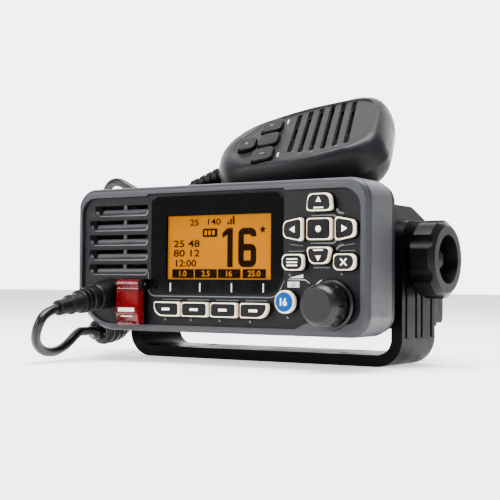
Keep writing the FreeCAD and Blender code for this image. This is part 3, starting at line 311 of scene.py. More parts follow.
@dataclass(frozen=True)
class PanelPlastic:
    """Front panel: a lighter satin bezel round a darker sunk face, with fine grain."""

    name: str
    bezel: Colour
    face: Colour
    front: float
    sunk: float
    roughness: float = 0.40

    def build(self) -> bpy.types.Material:
        """Make the material; front and sunk are depths along Y in metres.

        Returns:
            The material.
        """
        shader = Shader(self.name)
        depth = shader.axis(shader.coordinates, "Y")
        inside = shader.ramp(depth, self.front + (self.sunk - self.front) * 0.55, self.sunk - 0.0001)
        behind = shader.ramp(depth, self.sunk + 0.0001, self.sunk + 0.0004, 1.0, 0.0)
        toward = shader.axis(shader.normal(), "Y")
        facing = shader.ramp(toward, -0.9, -0.7, 1.0, 0.25)
        mask = shader.product(shader.product(inside, behind), facing)
        mottled = shader.mix(shader.noise(42.0, 3.0), tone(self.bezel, 0.88), tone(self.bezel, 1.1))
        shader.feed("Base Color", shader.mix_with(mask, mottled, self.face))
        smooth = self.roughness - 0.06
        rough = self.roughness + 0.07
        shader.feed("Roughness", shader.ramp(shader.noise(90.0, 4.0), 0.35, 0.7, smooth, rough))
        shader.bump(shader.noise(2600.0, 2.0), 0.22, GRAIN_DEPTH)
        shader.feed("Specular IOR Level", shader.ramp(mask, 0.0, 1.0, 0.34, 0.14))
        return shader.material


@dataclass(frozen=True)
class Metal:
    """Bare or plated metal with brushed or cast marks."""

    name: str
    colour: Colour
    roughness: float = 0.3
    stretch: tuple[float, float, float] = (1.0, 1.0, 1.0)
    scale: float = 900.0

    def build(self) -> bpy.types.Material:
        """Make the material.

        Returns:
            The material.
        """
        shader = Shader(self.name)
        marks = shader.noise(self.scale, 3.0, self.stretch)
        shader.feed("Base Color", shader.mix(marks, tone(self.colour, 0.82), self.colour))
        shader.feed("Roughness", shader.ramp(marks, 0.3, 0.7, self.roughness * 0.7, self.roughness * 1.4))
        shader.set("Metallic", 1.0)
        shader.bump(marks, 0.15, BRUSHED_DEPTH)
        return shader.material


@dataclass(frozen=True)
class ClearPlastic:
    """Tinted clear plastic: thin where looked through, darker to the edge."""

    name: str
    colour: Colour
    alpha: float = 0.5
    roughness: float = 0.08

    def build(self) -> bpy.types.Material:
        """Make the material.

        Returns:
            The material.
        """
        shader = Shader(self.name)
        streaks = shader.noise(120.0, 3.0)
        shader.feed("Base Color", shader.mix(streaks, tone(self.colour, 0.75), self.colour))
        rough = self.roughness + 0.1
        shader.feed("Roughness", shader.ramp(shader.noise(300.0, 3.0), 0.3, 0.7, self.roughness, rough))
        rim = shader.tree.nodes.new("ShaderNodeLayerWeight")
        rim.inputs["Blend"].default_value = 0.3
        edge = min(1.0, self.alpha + 0.4)
        shader.feed("Alpha", shader.ramp(rim.outputs["Facing"], 0.0, 1.0, self.alpha, edge))
        shader.set("Coat Weight", 0.6)
        shader.set("Coat Roughness", 0.05)
        return shader.material


@dataclass(frozen=True)
class WindowPlastic:
    """Gloss black window that is clear over the screen."""

    name: str
    screen: tuple[float, float, float, float]
    dark: Colour = (0.0010, 0.0010, 0.0012)
    light: Colour = (0.0018, 0.0018, 0.0022)

    def build(self) -> bpy.types.Material:
        """Make the material; screen is x0, x1, z0, z1 in metres.

        Returns:
            The material.
        """
        shader = Shader(self.name)
        x = shader.axis(shader.coordinates, "X")
        z = shader.axis(shader.coordinates, "Z")
        x0, x1, z0, z1 = self.screen
        soft = 0.00005
        across = shader.product(shader.ramp(x, x0, x0 + soft), shader.ramp(x, x1, x1 - soft))
        upward = shader.product(shader.ramp(z, z0, z0 + soft), shader.ramp(z, z1, z1 - soft))
        mask = shader.product(across, upward)
        shader.feed("Alpha", shader.ramp(mask, 0.0, 1.0, 1.0, 0.06))
        shader.feed("Base Color", shader.mix(shader.noise(60.0, 3.0), self.dark, self.light))
        shader.feed("Roughness", shader.ramp(shader.noise(200.0, 4.0), 0.4, 0.75, 0.05, 0.12))
        shader.set("Specular IOR Level", 0.15)
        return shader.material


@dataclass(frozen=True)
class LitScreen:
    """Backlit display: even orange with a soft hot spot and finely varied roughness."""

    name: str
    colour: Colour
    edge: Colour
    strength: float = 0.8

    def build(self) -> bpy.types.Material:
        """Make the material.

        Returns:
            The material.
        """
        shader = Shader(self.name)
        glow = shader.mix(shader.ramp(shader.noise(14.0, 1.0), 0.3, 0.7), self.edge, self.colour)
        shader.feed("Base Color", glow)
        shader.feed("Emission Color", glow)
        shader.set("Emission Strength", self.strength)
        shader.feed("Roughness", shader.ramp(shader.noise(400.0, 2.0), 0.3, 0.7, 0.35, 0.5))
        shader.set("Specular IOR Level", 0.0)
        return shader.material


@dataclass(frozen=True)
class Print:
    """Thin printed ink."""

    name: str
    colour: Colour
    glow: float = 0.0
    shine: float = 0.4

    def build(self) -> bpy.types.Material:
        """Make the material.

        Returns:
            The material.
        """
        shader = Shader(self.name)
        ink = shader.mix(shader.noise(700.0, 3.0), tone(self.colour, 0.86), self.colour)
        shader.feed("Base Color", ink)
        shader.feed("Roughness", shader.ramp(shader.noise(900.0, 2.0), 0.3, 0.7, 0.45, 0.65))
        shader.set("Specular IOR Level", self.shine)
        if self.glow:
            shader.feed("Emission Color", ink)
            shader.set("Emission Strength", self.glow)
        return shader.material


@dataclass(frozen=True)
class KeyPlastic:
    """Warm translucent key body with painted shade: it darkens from its tip towards its root, and below the
    root it is drawn near-black so the gaps between keys read dark.
    """

    name: str
    colour: Colour
    # Painted shade: the colour the key darkens to at its root
    deep: Colour
    # Painted shade: near-black colour below the root, standing in for the dark gaps between keys
    rubber: Colour
    tip: float
    root: float

    def build(self) -> bpy.types.Material:
        """Make the material; tip and root are depths along Y in metres.

        Returns:
            The material.
        """
        shader = Shader(self.name)
        depth = shader.axis(shader.coordinates, "Y")
        # Painted shade, darkening from the tip towards the root
        shade = shader.ramp(depth, self.tip, self.root)
        warm = shader.mix(shade, self.colour, self.deep)
        # Painted shade: below the root the key is drawn near-black
        foot = shader.ramp(depth, self.root, self.root + 0.0003)
        shader.feed("Base Color", shader.mix_with(foot, warm, self.rubber))
        shader.feed("Roughness", shader.ramp(shader.noise(500.0, 2.0), 0.3, 0.7, 0.34, 0.48))
        shader.set("Subsurface Weight", 0.15)
        shader.set("Subsurface Radius", (0.002, 0.0014, 0.0008))
        shader.feed("Emission Strength", shader.ramp(foot, 0.0, 1.0, 0.04, 0.0))
        shader.set("Emission Color", (*self.colour, 1.0))
        shader.bump(shader.noise(1800.0, 2.0), 0.1, BRUSHED_DEPTH)
        return shader.material


@dataclass(frozen=True)
class CircuitBoard:
    """Solder mask with faint copper tracks under it."""

    name: str
    mask: Colour
    track: Colour

    def build(self) -> bpy.types.Material:
        """Make the material.

        Returns:
            The material.
        """
        shader = Shader(self.name)
        cells = shader.tree.nodes.new("ShaderNodeTexVoronoi")
        cells.distance = "MANHATTAN"
        cells.inputs["Scale"].default_value = 260.0
        shader.link(shader.coordinates, cells.inputs["Vector"])
        tracks = shader.ramp(cells.outputs["Distance"], 0.42, 0.5)
        shader.feed("Base Color", shader.mix(tracks, self.mask, self.track))
        shader.feed("Roughness", shader.ramp(shader.noise(400.0, 2.0), 0.3, 0.7, 0.3, 0.4))
        return shader.material


# Mesh helpers

# Corners closer than this are one corner, in metres
SAME_PLACE = 1e-7
# Digits are drawn this much bolder, as a share of their height
BOLDER = 0.018
# Turns flat digits to face the front
FACING = Matrix.Rotation(math.radians(90.0), 3, "X")


@dataclass(frozen=True)
class Datum:
    """The panel's own frame: its front face and lower edge, in metres."""

    front: float
    base: float

    def at(self, x: float, y: float, z: float) -> Vector:
        """A point from millimetres across, behind the front and above the lower edge."""
        return Vector((x * MM, self.front + y * MM, self.base + z * MM))

    def sheet(self, depth: float) -> Lift:
        """A function that puts outline pairs at a depth."""
        return lambda u, v: self.at(u, depth, v)


@dataclass(frozen=True)
class Rounded:
    """Flat outline with rounded corners, in the panel's plane."""

    corners: tuple[Pair, ...]
    radii: tuple[float, ...]

    def inset(self, amount: float) -> "Rounded":
        """The outline drawn in on every side.

        Args:
            amount: How far, in millimetres.

        Returns:
            The smaller outline.
        """
        count = len(self.corners)
        moved = []
        for i, corner in enumerate(self.corners):
            here = Vector(corner)
            into = (here - Vector(self.corners[i - 1])).normalized()
            onward = (Vector(self.corners[(i + 1) % count]) - here).normalized()
            first = Vector((-into.y, into.x))
            second = Vector((-onward.y, onward.x))
            shift = (first + second) * (amount / (1.0 + first.dot(second)))
            moved.append(tuple(here + shift))
        return Rounded(tuple(moved), tuple(max(0.05, r - amount) for r in self.radii))


def box_outline(x0: float, x1: float, z0: float, z1: float, radius: float = 0.3) -> Rounded:
    """Rectangle with equal corners."""
    return Rounded(((x0, z0), (x1, z0), (x1, z1), (x0, z1)), (radius,) * 4)


def add_outline(mesh: bmesh.types.BMesh, shape: Rounded, lift: Lift) -> bmesh.types.BMFace:
    """One flat face with rounded corners.

    Args:
        mesh: Mesh to add to.
        shape: The outline.
        lift: Turns an outline pair into a point.

    Returns:
        The face.
    """
    corners = [mesh.verts.new(lift(u, v)) for u, v in shape.corners]
    face = mesh.faces.new(corners)
    count = len(corners)
    places = [Vector(v.co) for v in corners]
    for i in range(count):
        back = (places[i - 1] - places[i]).normalized()
        onward = (places[(i + 1) % count] - places[i]).normalized()
        half = back.angle(onward) / 2.0
        reach = shape.radii[i] * MM / math.tan(half)
        bmesh.ops.bevel(mesh, geom=[corners[i]], offset=reach, affect="VERTICES", segments=6, profile=0.5,
                        material=-1)
    return face


def thicken(mesh: bmesh.types.BMesh, push: Vector) -> list[bmesh.types.BMVert]:
    """Turn a flat mesh into a solid one.

    Args:
        mesh: The flat mesh, which is changed.
        push: From the back face to the front face.

    Returns:
        The front face's corners.
    """
    grown = bmesh.ops.extrude_face_region(mesh, geom=list(mesh.faces), use_keep_orig=True)
    top = [g for g in grown["geom"] if isinstance(g, bmesh.types.BMVert)]
    bmesh.ops.translate(mesh, verts=top, vec=push)
    bmesh.ops.recalc_face_normals(mesh, faces=mesh.faces)
    return top


def plate(shape: Rounded, lift: Lift, push: Vector, edge: float = 0.0) -> bmesh.types.BMesh:
    """Solid plate from an outline.

    Args:
        shape: The outline.
        lift: Turns an outline pair into a point on the back face.
        push: From the back face to the front face.
        edge: Rounding of the front edge, in millimetres.

    Returns:
        The mesh.
    """
    mesh = bmesh.new()
    add_outline(mesh, shape, lift)
    top = set(thicken(mesh, push))
    if edge > 0.0:
        rim = [e for e in mesh.edges if top.issuperset(e.verts) and not e.is_boundary]
        bmesh.ops.bevel(mesh, geom=rim, offset=edge * MM, affect="EDGES", segments=3, profile=0.5,
                        material=-1)
    return mesh


def rounded_line(points: list[Pair], radius: float, steps: int = 5) -> list[Pair]:
    """A line whose corners are drawn as soft bends.

    Args:
        points: Corners of the line.
        radius: How far from each corner its bend starts, in millimetres.
        steps: Stretches in each bend.

    Returns:
        Points of the softer line.
    """
    line = [points[0]]
    for before, here, after in zip(points, points[1:], points[2:]):
        corner = Vector(here)
        start = corner + (Vector(before) - corner).normalized() * radius
        end = corner + (Vector(after) - corner).normalized() * radius
        for i in range(steps + 1):
            t = i / steps
            line.append(tuple(start * (1 - t) ** 2 + corner * (2 * t * (1 - t)) + end * t ** 2))
    return line + [points[-1]]


def arc_line(x: float, z: float, radius: float, start: float, end: float,
             steps: int = 24) -> list[Pair]:
    """Points of an arc.

    Args:
        x: Its centre, across.
        z: Its centre, upwards.
        radius: Its radius in millimetres.
        start: First angle in degrees.
        end: Last angle in degrees.
        steps: Stretches between the points.

    Returns:
        The points.
    """
    angles = [math.radians(start + (end - start) * i / steps) for i in range(steps + 1)]
    return [(x + radius * math.cos(a), z + radius * math.sin(a)) for a in angles]


def ribbon(line: list[Pair], width: float, lift: Lift, push: Vector,
           ends: float = 0.45) -> bmesh.types.BMesh:
    """Raised band along a line.

    Args:
        line: Points along its middle.
        width: Full width in millimetres.
        lift: Turns a pair into a point on the back face.
        push: From the back face to the front face.
        ends: Width at the two ends, as a share of the full width.

    Returns:
        The mesh.
    """
    mesh = bmesh.new()
    rows = []
    last = len(line) - 1
    for i, place in enumerate(line):
        onward = (Vector(line[min(i + 1, last)]) - Vector(line[max(i - 1, 0)])).normalized()
        half = width / 2.0 * (ends if i in (0, last) else 1.0)
        side = Vector((-onward.y, onward.x)) * half
        middle = Vector(place)
        rows.append([mesh.verts.new(lift(*(middle + side))), mesh.verts.new(lift(*(middle - side)))])
    for (a, b), (c, d) in zip(rows, rows[1:]):
        mesh.faces.new((a, b, d, c))
    thicken(mesh, push)
    return mesh


def join(meshes: list[bmesh.types.BMesh]) -> bmesh.types.BMesh:
    """Put several meshes into one.

    Args:
        meshes: The meshes, which are freed.

    Returns:
        The one mesh.
    """
    whole = bmesh.new()
    for mesh in meshes:
        part = bpy.data.meshes.new("part")
        mesh.to_mesh(part)
        mesh.free()
        whole.from_mesh(part)
        bpy.data.meshes.remove(part)
    return whole


def lettering(text: str, height: float, stretch: float, thickness: float, place: Vector,
              turn: Matrix) -> bmesh.types.BMesh:
    """Plain digits as a thin solid, standing on a plane.

    Args:
        text: Digits to draw.
        height: Height of a digit, in millimetres.
        stretch: Width factor.
        thickness: Thickness in millimetres.
        place: Middle of the digits.
        turn: Rotation from the flat XY plane to the surface.

    Returns:
        The mesh.
    """
    curve = bpy.data.curves.new("digits", "FONT")
    curve.body = text
    curve.align_x = "CENTER"
    curve.align_y = "CENTER"
    curve.resolution_u = 4
    curve.offset = BOLDER
    holder = bpy.data.objects.new("digits", curve)
    flat = bpy.data.meshes.new_from_object(holder)
    mesh = bmesh.new()
    mesh.from_mesh(flat)
    bpy.data.objects.remove(holder)
    bpy.data.meshes.remove(flat)
    low = min(v.co.y for v in mesh.verts)
    high = max(v.co.y for v in mesh.verts)
    left = min(v.co.x for v in mesh.verts)
    right = max(v.co.x for v in mesh.verts)
    middle = Vector(((left + right) / 2, (low + high) / 2, 0))
    factor = height * MM / (high - low)
    bmesh.ops.translate(mesh, verts=mesh.verts, vec=-middle)
    bmesh.ops.scale(mesh, verts=mesh.verts, vec=(factor * stretch, factor, factor))
    bmesh.ops.remove_doubles(mesh, verts=mesh.verts, dist=SAME_PLACE)
    thicken(mesh, Vector((0, 0, thickness * MM)))
    bmesh.ops.transform(mesh, verts=mesh.verts, matrix=Matrix.Translation(place) @ turn.to_4x4())
    return mesh


def disc(place: Vector, axis: Vector, profile: list[Pair], steps: int = 48) -> bmesh.types.BMesh:
    """Turned solid.

    Args:
        place: Base of the axis.
        axis: Direction of the axis.
        profile: Radius and height pairs in millimetres, from the base's middle to the top's middle.
        steps: Sides round the axis.

    Returns:
        The mesh.
    """
    mesh = bmesh.new()
    verts = [mesh.verts.new((r * MM, 0, h * MM)) for r, h in profile]
    edges = [mesh.edges.new(pair) for pair in zip(verts, verts[1:])]
    bmesh.ops.spin(mesh, geom=verts + edges, cent=(0, 0, 0), axis=(0, 0, 1), angle=2 * math.pi,
                   steps=steps, use_merge=True)
    bmesh.ops.remove_doubles(mesh, verts=mesh.verts, dist=SAME_PLACE)
    bmesh.ops.recalc_face_normals(mesh, faces=mesh.faces)
    turn = axis.to_track_quat("Z", "Y").to_matrix().to_4x4()
    bmesh.ops.transform(mesh, verts=mesh.verts, matrix=Matrix.Translation(place) @ turn)
    return mesh


def add_object(name: str, data: bpy.types.ID) -> bpy.types.Object:
    """Put a mesh, curve, camera or light into the scene.

    Args:
        name: Name of the object.
        data: What it holds.

    Returns:
        The object.
    """
    made = bpy.data.objects.new(name, data)
    bpy.context.scene.collection.objects.link(made)
    return made


def new_piece(name: str, mesh: bmesh.types.BMesh, material: bpy.types.Material, body: Body | str,
              slot: Slot) -> bpy.types.Object:
    """Make an object of a mesh, with its finish and the body it rides on.

    Args:
        name: Name of the piece.
        mesh: Its mesh, which is freed.
        material: Its finish.
        body: Body of the frame.
        slot: The record's material slot; not used.

    Returns:
        The object.
    """
    data = bpy.data.meshes.new(name)
    mesh.to_mesh(data)
    mesh.free()
    data.materials.append(material)
    for polygon in data.polygons:
        polygon.use_smooth = False
    piece = add_object(name, data)
    ridden = body.value if isinstance(body, Body) else body
    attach(piece, ridden)
    log.info("piece %s on %s: %d faces", name, ridden, len(data.polygons))
    return piece


@dataclass
class Library:
    """Every finish of the scene, made once."""

    datum: Datum
    screen_low: Pair = (-25.7, 23.8)
    screen_high: Pair = (30.5, 52.6)
    key_tip: float = 2.6
    key_root: float = 0.75
    made: dict[str, bpy.types.Material] = field(default_factory=dict)

    def build(self) -> None:
        """Make the materials."""
        d = self.datum
        low = d.at(self.screen_low[0], 0, self.screen_low[1])
        high = d.at(self.screen_high[0], 0, self.screen_high[1])
        finishes = [
            PanelPlastic("panel", (0.017, 0.018, 0.023), (0.0024, 0.0024, 0.0033), d.front,
                         d.front + FACE_DEPTH * MM),
            MouldedPlastic("bracket", (0.0010, 0.0010, 0.0013), 0.42, relief=0.18, shine=0.06),
            MouldedPlastic("casting", (0.0016, 0.0016, 0.0019), 0.5, grain=1500.0, relief=0.4, shine=0.15),
            MouldedPlastic("knob", (0.0009, 0.0009, 0.0012), 0.38, relief=0.2, shine=0.12),
            MouldedPlastic("rubber", (0.0010, 0.0010, 0.0012), 0.45, grain=1800.0, relief=0.3, shine=0.16),
            MouldedPlastic("cord_jacket", (0.0012, 0.0012, 0.0015), 0.33, grain=900.0, relief=0.12,
                           shine=0.28),
            MouldedPlastic("mic_shell", (0.0046, 0.0046, 0.0062), 0.42, relief=0.3, shine=0.16),
            MouldedPlastic("mic_key", (0.0009, 0.0009, 0.0012), 0.45, relief=0.2, shine=0.12),
            MouldedPlastic("dial_grip", (0.0010, 0.0010, 0.0012), 0.34, relief=0.2, shine=0.3),
            MouldedPlastic("dial_face", (0.0070, 0.0070, 0.0086), 0.5, relief=0.35, shine=0.2),
            MouldedPlastic("speaker_cone", (0.0012, 0.0012, 0.0012), 0.8, shine=0.05),
            MouldedPlastic("key_top", (0.0008, 0.0008, 0.0010), 0.34, relief=0.1, shine=0.14),
            MouldedPlastic("blue", (0.0, 0.045, 0.22), 0.45, shine=0.06, relief=0.1, variation=0.05),
            MouldedPlastic("red_button", (0.62, 0.006, 0.010), 0.3, relief=0.05),
            # Light grey: painted highlight on the panel's raised ridges and along the speaker slots' lips;
            # also the colour of the small triangles and of the signs on the microphone's keys
            MouldedPlastic("ridge", (0.085, 0.086, 0.095), 0.36, relief=0.2, shine=0.5),
            # Near-black matte finish for painted shade at the speaker slots' ends and on the microphone's
            # groove floors
            MouldedPlastic("deep", (0.0008, 0.0008, 0.0009), 0.8, shine=0.04),
            ClearPlastic("red_clear", (0.13, 0.0010, 0.0025), 0.50),
            WindowPlastic("window", (low.x, high.x, low.z, high.z)),
            LitScreen("screen", (0.34, 0.115, 0.0), (0.28, 0.092, 0.0), 0.45),
            Print("lcd_ink", (0.009, 0.004, 0.001), shine=0.0),
            # Painted brightness: this white print glows, though it is no lamp
            Print("white_ink_painted_glow", (0.62, 0.62, 0.60), 0.10),
            Print("lit_ink", (0.95, 0.92, 0.82), 0.35),
            # The deeper colour and the near-black one are painted shade towards and below each key's root
            KeyPlastic("key_body", (0.92, 0.80, 0.60), (0.74, 0.60, 0.42), (0.0012, 0.0012, 0.0014),
                       d.front - self.key_tip * MM, d.front - self.key_root * MM),
            CircuitBoard("board", (0.010, 0.060, 0.025), (0.05, 0.10, 0.03)),
            Metal("steel", (0.34, 0.34, 0.35), 0.35),
            Metal("tin", (0.62, 0.62, 0.63), 0.3, (1.0, 12.0, 1.0)),
            Metal("nickel", (0.66, 0.64, 0.60), 0.18),
            Metal("brass", (0.70, 0.50, 0.22), 0.28),
        ]
        for finish in finishes:
            self.made[finish.name] = finish.build()
        log.info("finishes: %d", len(self.made))

    def __getitem__(self, name: str) -> bpy.types.Material:
        """One finish by name."""
        return self.made[name]


# The nodes that aren't named here are the panel's keys
CAD_FINISH = {
    "mounting_bracket": "bracket", "front_panel": "panel", "panel_gasket": "rubber",
    "chassis": "casting", "bottom_cover": "casting", "cover_screws": "steel",
    "panel_screws": "steel", "main_board": "board", "shield_can": "tin", "front_board": "board",
    "keypad_mat": "rubber", "display_module": "screen", "display_window": "window",
    "speaker": "speaker_cone", "dial_collar": "dial_grip", "dial_encoder": "speaker_cone",
    "dial_plunger": "steel", "dial_shaft": "steel", "dial_knob": "dial_grip",
    "distress_frame": "bracket", "cover_pin": "steel", "distress_cover": "red_clear",
    "distress_button": "red_button", "antenna_socket": "nickel", "rear_glands": "rubber",
    "side_inserts": "brass", "side_spacers": "rubber", "left_clamp_knob": "knob",
    "right_clamp_knob": "knob", "left_knob_washer": "rubber", "right_knob_washer": "rubber",
    "cord_boss": "rubber", "cord_gland": "rubber", "mic_front_shell": "mic_shell",
    "mic_rear_shell": "mic_shell", "mic_board": "board", "mic_speaker": "speaker_cone",
    "talk_button": "rubber", "mic_up_key": "mic_key", "mic_down_key": "mic_key",
    "mic_mid_key": "mic_key", "mic_low_key": "mic_key", "hanger_stud": "nickel",
    "mic_relief": "rubber", "mic_screws": "steel",
}
# One cord of the scene stands for these
BARE = ("mic_cord_loop", "mic_cord_curls", "mic_cord_tail")
# Softening of the frame's edges: its width in millimetres, from which angle in degrees, and how far
# apart in metres two corners are still one
EDGE_WIDTH = 0.22
EDGE_ANGLE = 32.0
WELD_REACH = 0.000002


def dress_frame(nodes: dict[str, bpy.types.Object], library: Library) -> None:
    """Give every shown CAD node its finish, softened edges and smooth curves.

    Args:
        nodes: The frame's nodes.
        library: The finishes.
    """
    for name, node in nodes.items():
        if name in BARE:
            continue
        node.data.materials.clear()
        node.data.materials.append(library[CAD_FINISH.get(name, "key_body")])
        for polygon in node.data.polygons:
            polygon.use_smooth = True
        weld = node.modifiers.new("weld", "WELD")
        weld.merge_threshold = WELD_REACH
        bevel = node.modifiers.new("bevel", "BEVEL")
        bevel.width = EDGE_WIDTH * MM
        bevel.segments = 2
        bevel.limit_method = "ANGLE"
        bevel.angle_limit = math.radians(EDGE_ANGLE)
        bevel.harden_normals = False
        bevel.use_clamp_overlap = True
        weighted = node.modifiers.new("weighted", "WEIGHTED_NORMAL")
        weighted.keep_sharp = False
    log.info("dressed %d nodes of the frame", len(nodes) - len(BARE))


# Sub-assemblies


@dataclass
class Keypad:
    """Black key tops with light symbols, on the frame's warm key bodies."""

    datum: Datum
    library: Library
    pad_x: float = 55.9
    pad_z: float = 45.1
    soft_low: float = 7.2
    soft_high: float = 13.7
    proud: float = 2.7
    border: float = 0.5
    extra_round: float = 0.8
    channel_x: float = 39.5
    channel_z: float = 14.5
    channel_radius: float = 4.95
    top_sink: float = 0.05
    top_height: float = 0.15
    top_edge: float = 0.08
    mark_gap: float = 0.10
    mark_height: float = 0.06

    def outlines(self) -> dict[str, Rounded]:
        """Outline of each key, as in the frame.

        Returns:
            Outlines by the key's name.
        """
        x, z = self.pad_x, self.pad_z
        low, high = self.soft_low, self.soft_high
        top, foot = z - 10.4, z - 17.3
        return {
            "soft_key_1": Rounded(((-29.9, low), (-15.7, low), (-15.7, high), (-29.9, high)),
                                  (4.6, 0.9, 0.9, 0.9)),
            "soft_key_2": box_outline(-14.3, -0.2, low, high, 0.9),
            "soft_key_3": box_outline(1.4, 15.1, low, high, 0.9),
            "soft_key_4": Rounded(((17.0, low), (31.1, low), (31.1, high), (17.0, high)),
                                  (0.9, 4.6, 0.9, 0.9)),
            "up_key": Rounded(((x - 6.2, z + 7.5), (x + 6.2, z + 7.5),
                               (x + 5.3, z + 14.9), (x - 5.3, z + 14.9)), (1.4, 1.4, 2.6, 2.6)),
            "down_key": Rounded(((x - 4.2, z - 14.6), (x + 4.2, z - 14.6),
                                 (x + 6.1, z - 7.5), (x - 6.1, z - 7.5)), (2.6, 2.6, 1.4, 1.4)),
            "left_key": Rounded(((x - 17.3, z - 3.4), (x - 8.0, z - 5.1),
                                 (x - 8.0, z + 5.1), (x - 17.3, z + 3.4)), (2.2, 1.2, 1.2, 2.2)),
            "right_key": Rounded(((x + 7.6, z - 5.1), (x + 16.8, z - 3.4),
                                  (x + 16.8, z + 3.4), (x + 7.6, z + 5.1)), (1.2, 2.2, 2.2, 1.2)),
            "enter_key": box_outline(x - 5.9, x + 5.9, z - 4.6, z + 4.6, 1.3),
            "menu_key": Rounded(((x - 17.8, foot), (x - 7.4, foot), (x - 7.4, top), (x - 17.8, top)),
                                (2.8, 2.2, 1.6, 2.2)),
            "clear_key": Rounded(((x + 6.9, foot), (x + 16.9, foot), (x + 16.9, top), (x + 6.9, top)),
                                 (2.2, 2.8, 2.2, 1.6)),
        }

    def flat(self, shape: Rounded) -> bmesh.types.BMesh:
        """A symbol standing just off a key's top."""
        lift = self.datum.sheet(-self.proud - self.mark_gap)
        return plate(shape, lift, Vector((0, -self.mark_height * MM, 0)))

    def triangle(self, x: float, z: float, size: float, turn: float) -> bmesh.types.BMesh:
        """A small solid triangle.

        Args:
            x: Its middle, across.
            z: Its middle, upwards.
            size: From its middle to a corner, in millimetres.
            turn: Where its point shows, in degrees.

        Returns:
            The mesh.
        """
        corners = []
        for step in (0, 120, 240):
            angle = math.radians(turn + step)
            corners.append((x + size * math.cos(angle), z + size * math.sin(angle)))
        return self.flat(Rounded(tuple(corners), (0.08,) * 3))

    def bar(self, x: float, z: float, half: float, height: float, radius: float = 0.1) -> bmesh.types.BMesh:
        """A lying bar from its middle, its lower edge, its half length and its height."""
        return self.flat(box_outline(x - half, x + half, z, z + height, radius))

    def cross(self, x: float, z: float) -> list[bmesh.types.BMesh]:
        """Two crossed bars.

        Args:
            x: Their middle, across.
            z: Their middle, upwards.

        Returns:
            The meshes.
        """
        bars = []
        centre = self.datum.at(x, 0, z)
        for turn in (45, -45):
            bar = self.bar(x, z - 0.3, 2.0, 0.6)
            spin = Matrix.Rotation(math.radians(turn), 4, "Y")
            bmesh.ops.transform(bar, verts=bar.verts,
                                matrix=Matrix.Translation(centre) @ spin @ Matrix.Translation(-centre))
            bars.append(bar)
        return bars

    def symbols(self) -> dict[str, list[bmesh.types.BMesh]]:
        """The light mark on each key.

        Returns:
            Meshes by the key's name.
        """
        x, z = self.pad_x, self.pad_z
        row = (self.soft_low + self.soft_high) / 2
        marks: dict[str, list[bmesh.types.BMesh]] = {}
        for i, middle in enumerate((-22.8, -7.3, 8.2, 24.0)):
            marks[f"soft_key_{i + 1}"] = [self.bar(middle, row - 0.55, 2.2, 1.1, 0.3)]
        marks["up_key"] = [self.triangle(x, z + 12.0, 1.5, 90), self.bar(x, z + 8.6, 2.3, 0.5)]
        marks["down_key"] = [self.triangle(x, z - 11.9, 1.5, 270), self.bar(x, z - 9.1, 2.3, 0.5)]
        marks["left_key"] = [self.triangle(x - 12.2, z, 1.7, 180)]
        marks["right_key"] = [self.triangle(x + 11.8, z, 1.7, 0)]
        marks["enter_key"] = [self.bar(x, z - 1.3, 1.3, 2.6, 1.25)]
        marks["menu_key"] = [self.bar(x - 12.6, z - 13.85 + rise, 2.6, 0.55) for rise in (-1.6, -0.27, 1.06)]
        marks["clear_key"] = self.cross(x + 11.9, z - 13.85)
        return marks

    def build(self) -> None:
        """Make the tops and marks of all keys."""
        for name, shape in self.outlines().items():
            inner = shape.inset(self.border)
            rounder = Rounded(inner.corners, tuple(r + self.extra_round for r in inner.radii))
            lift = self.datum.sheet(-self.proud + self.top_sink)
            top = plate(rounder, lift, Vector((0, -self.top_height * MM, 0)), self.top_edge)
            new_piece(name + "_top", top, self.library["key_top"], name, Slot.BLACK_KEY)
        for name, meshes in self.symbols().items():
            new_piece(name + "_mark", join(meshes), self.library["lit_ink"], name, Slot.BLACK_KEY)
        centre = self.datum.at(self.channel_x, -self.proud, self.channel_z)
        reach = self.channel_radius - 0.75
        profile = [(0, -0.1), (reach, -0.1), (reach, 0.15), (reach - 0.2, 0.3), (0, 0.42)]
        face = disc(centre, Vector((0, -1, 0)), profile)
        new_piece("channel_key_top", face, self.library["blue"], "channel_key", Slot.BLUE_KEY)
        number = lettering("16", 3.3, 0.95, 0.08, centre + Vector((0, -0.40 * MM, 0)), FACING)
        new_piece("channel_key_mark", number, self.library["lit_ink"], "channel_key", Slot.BLUE_KEY)


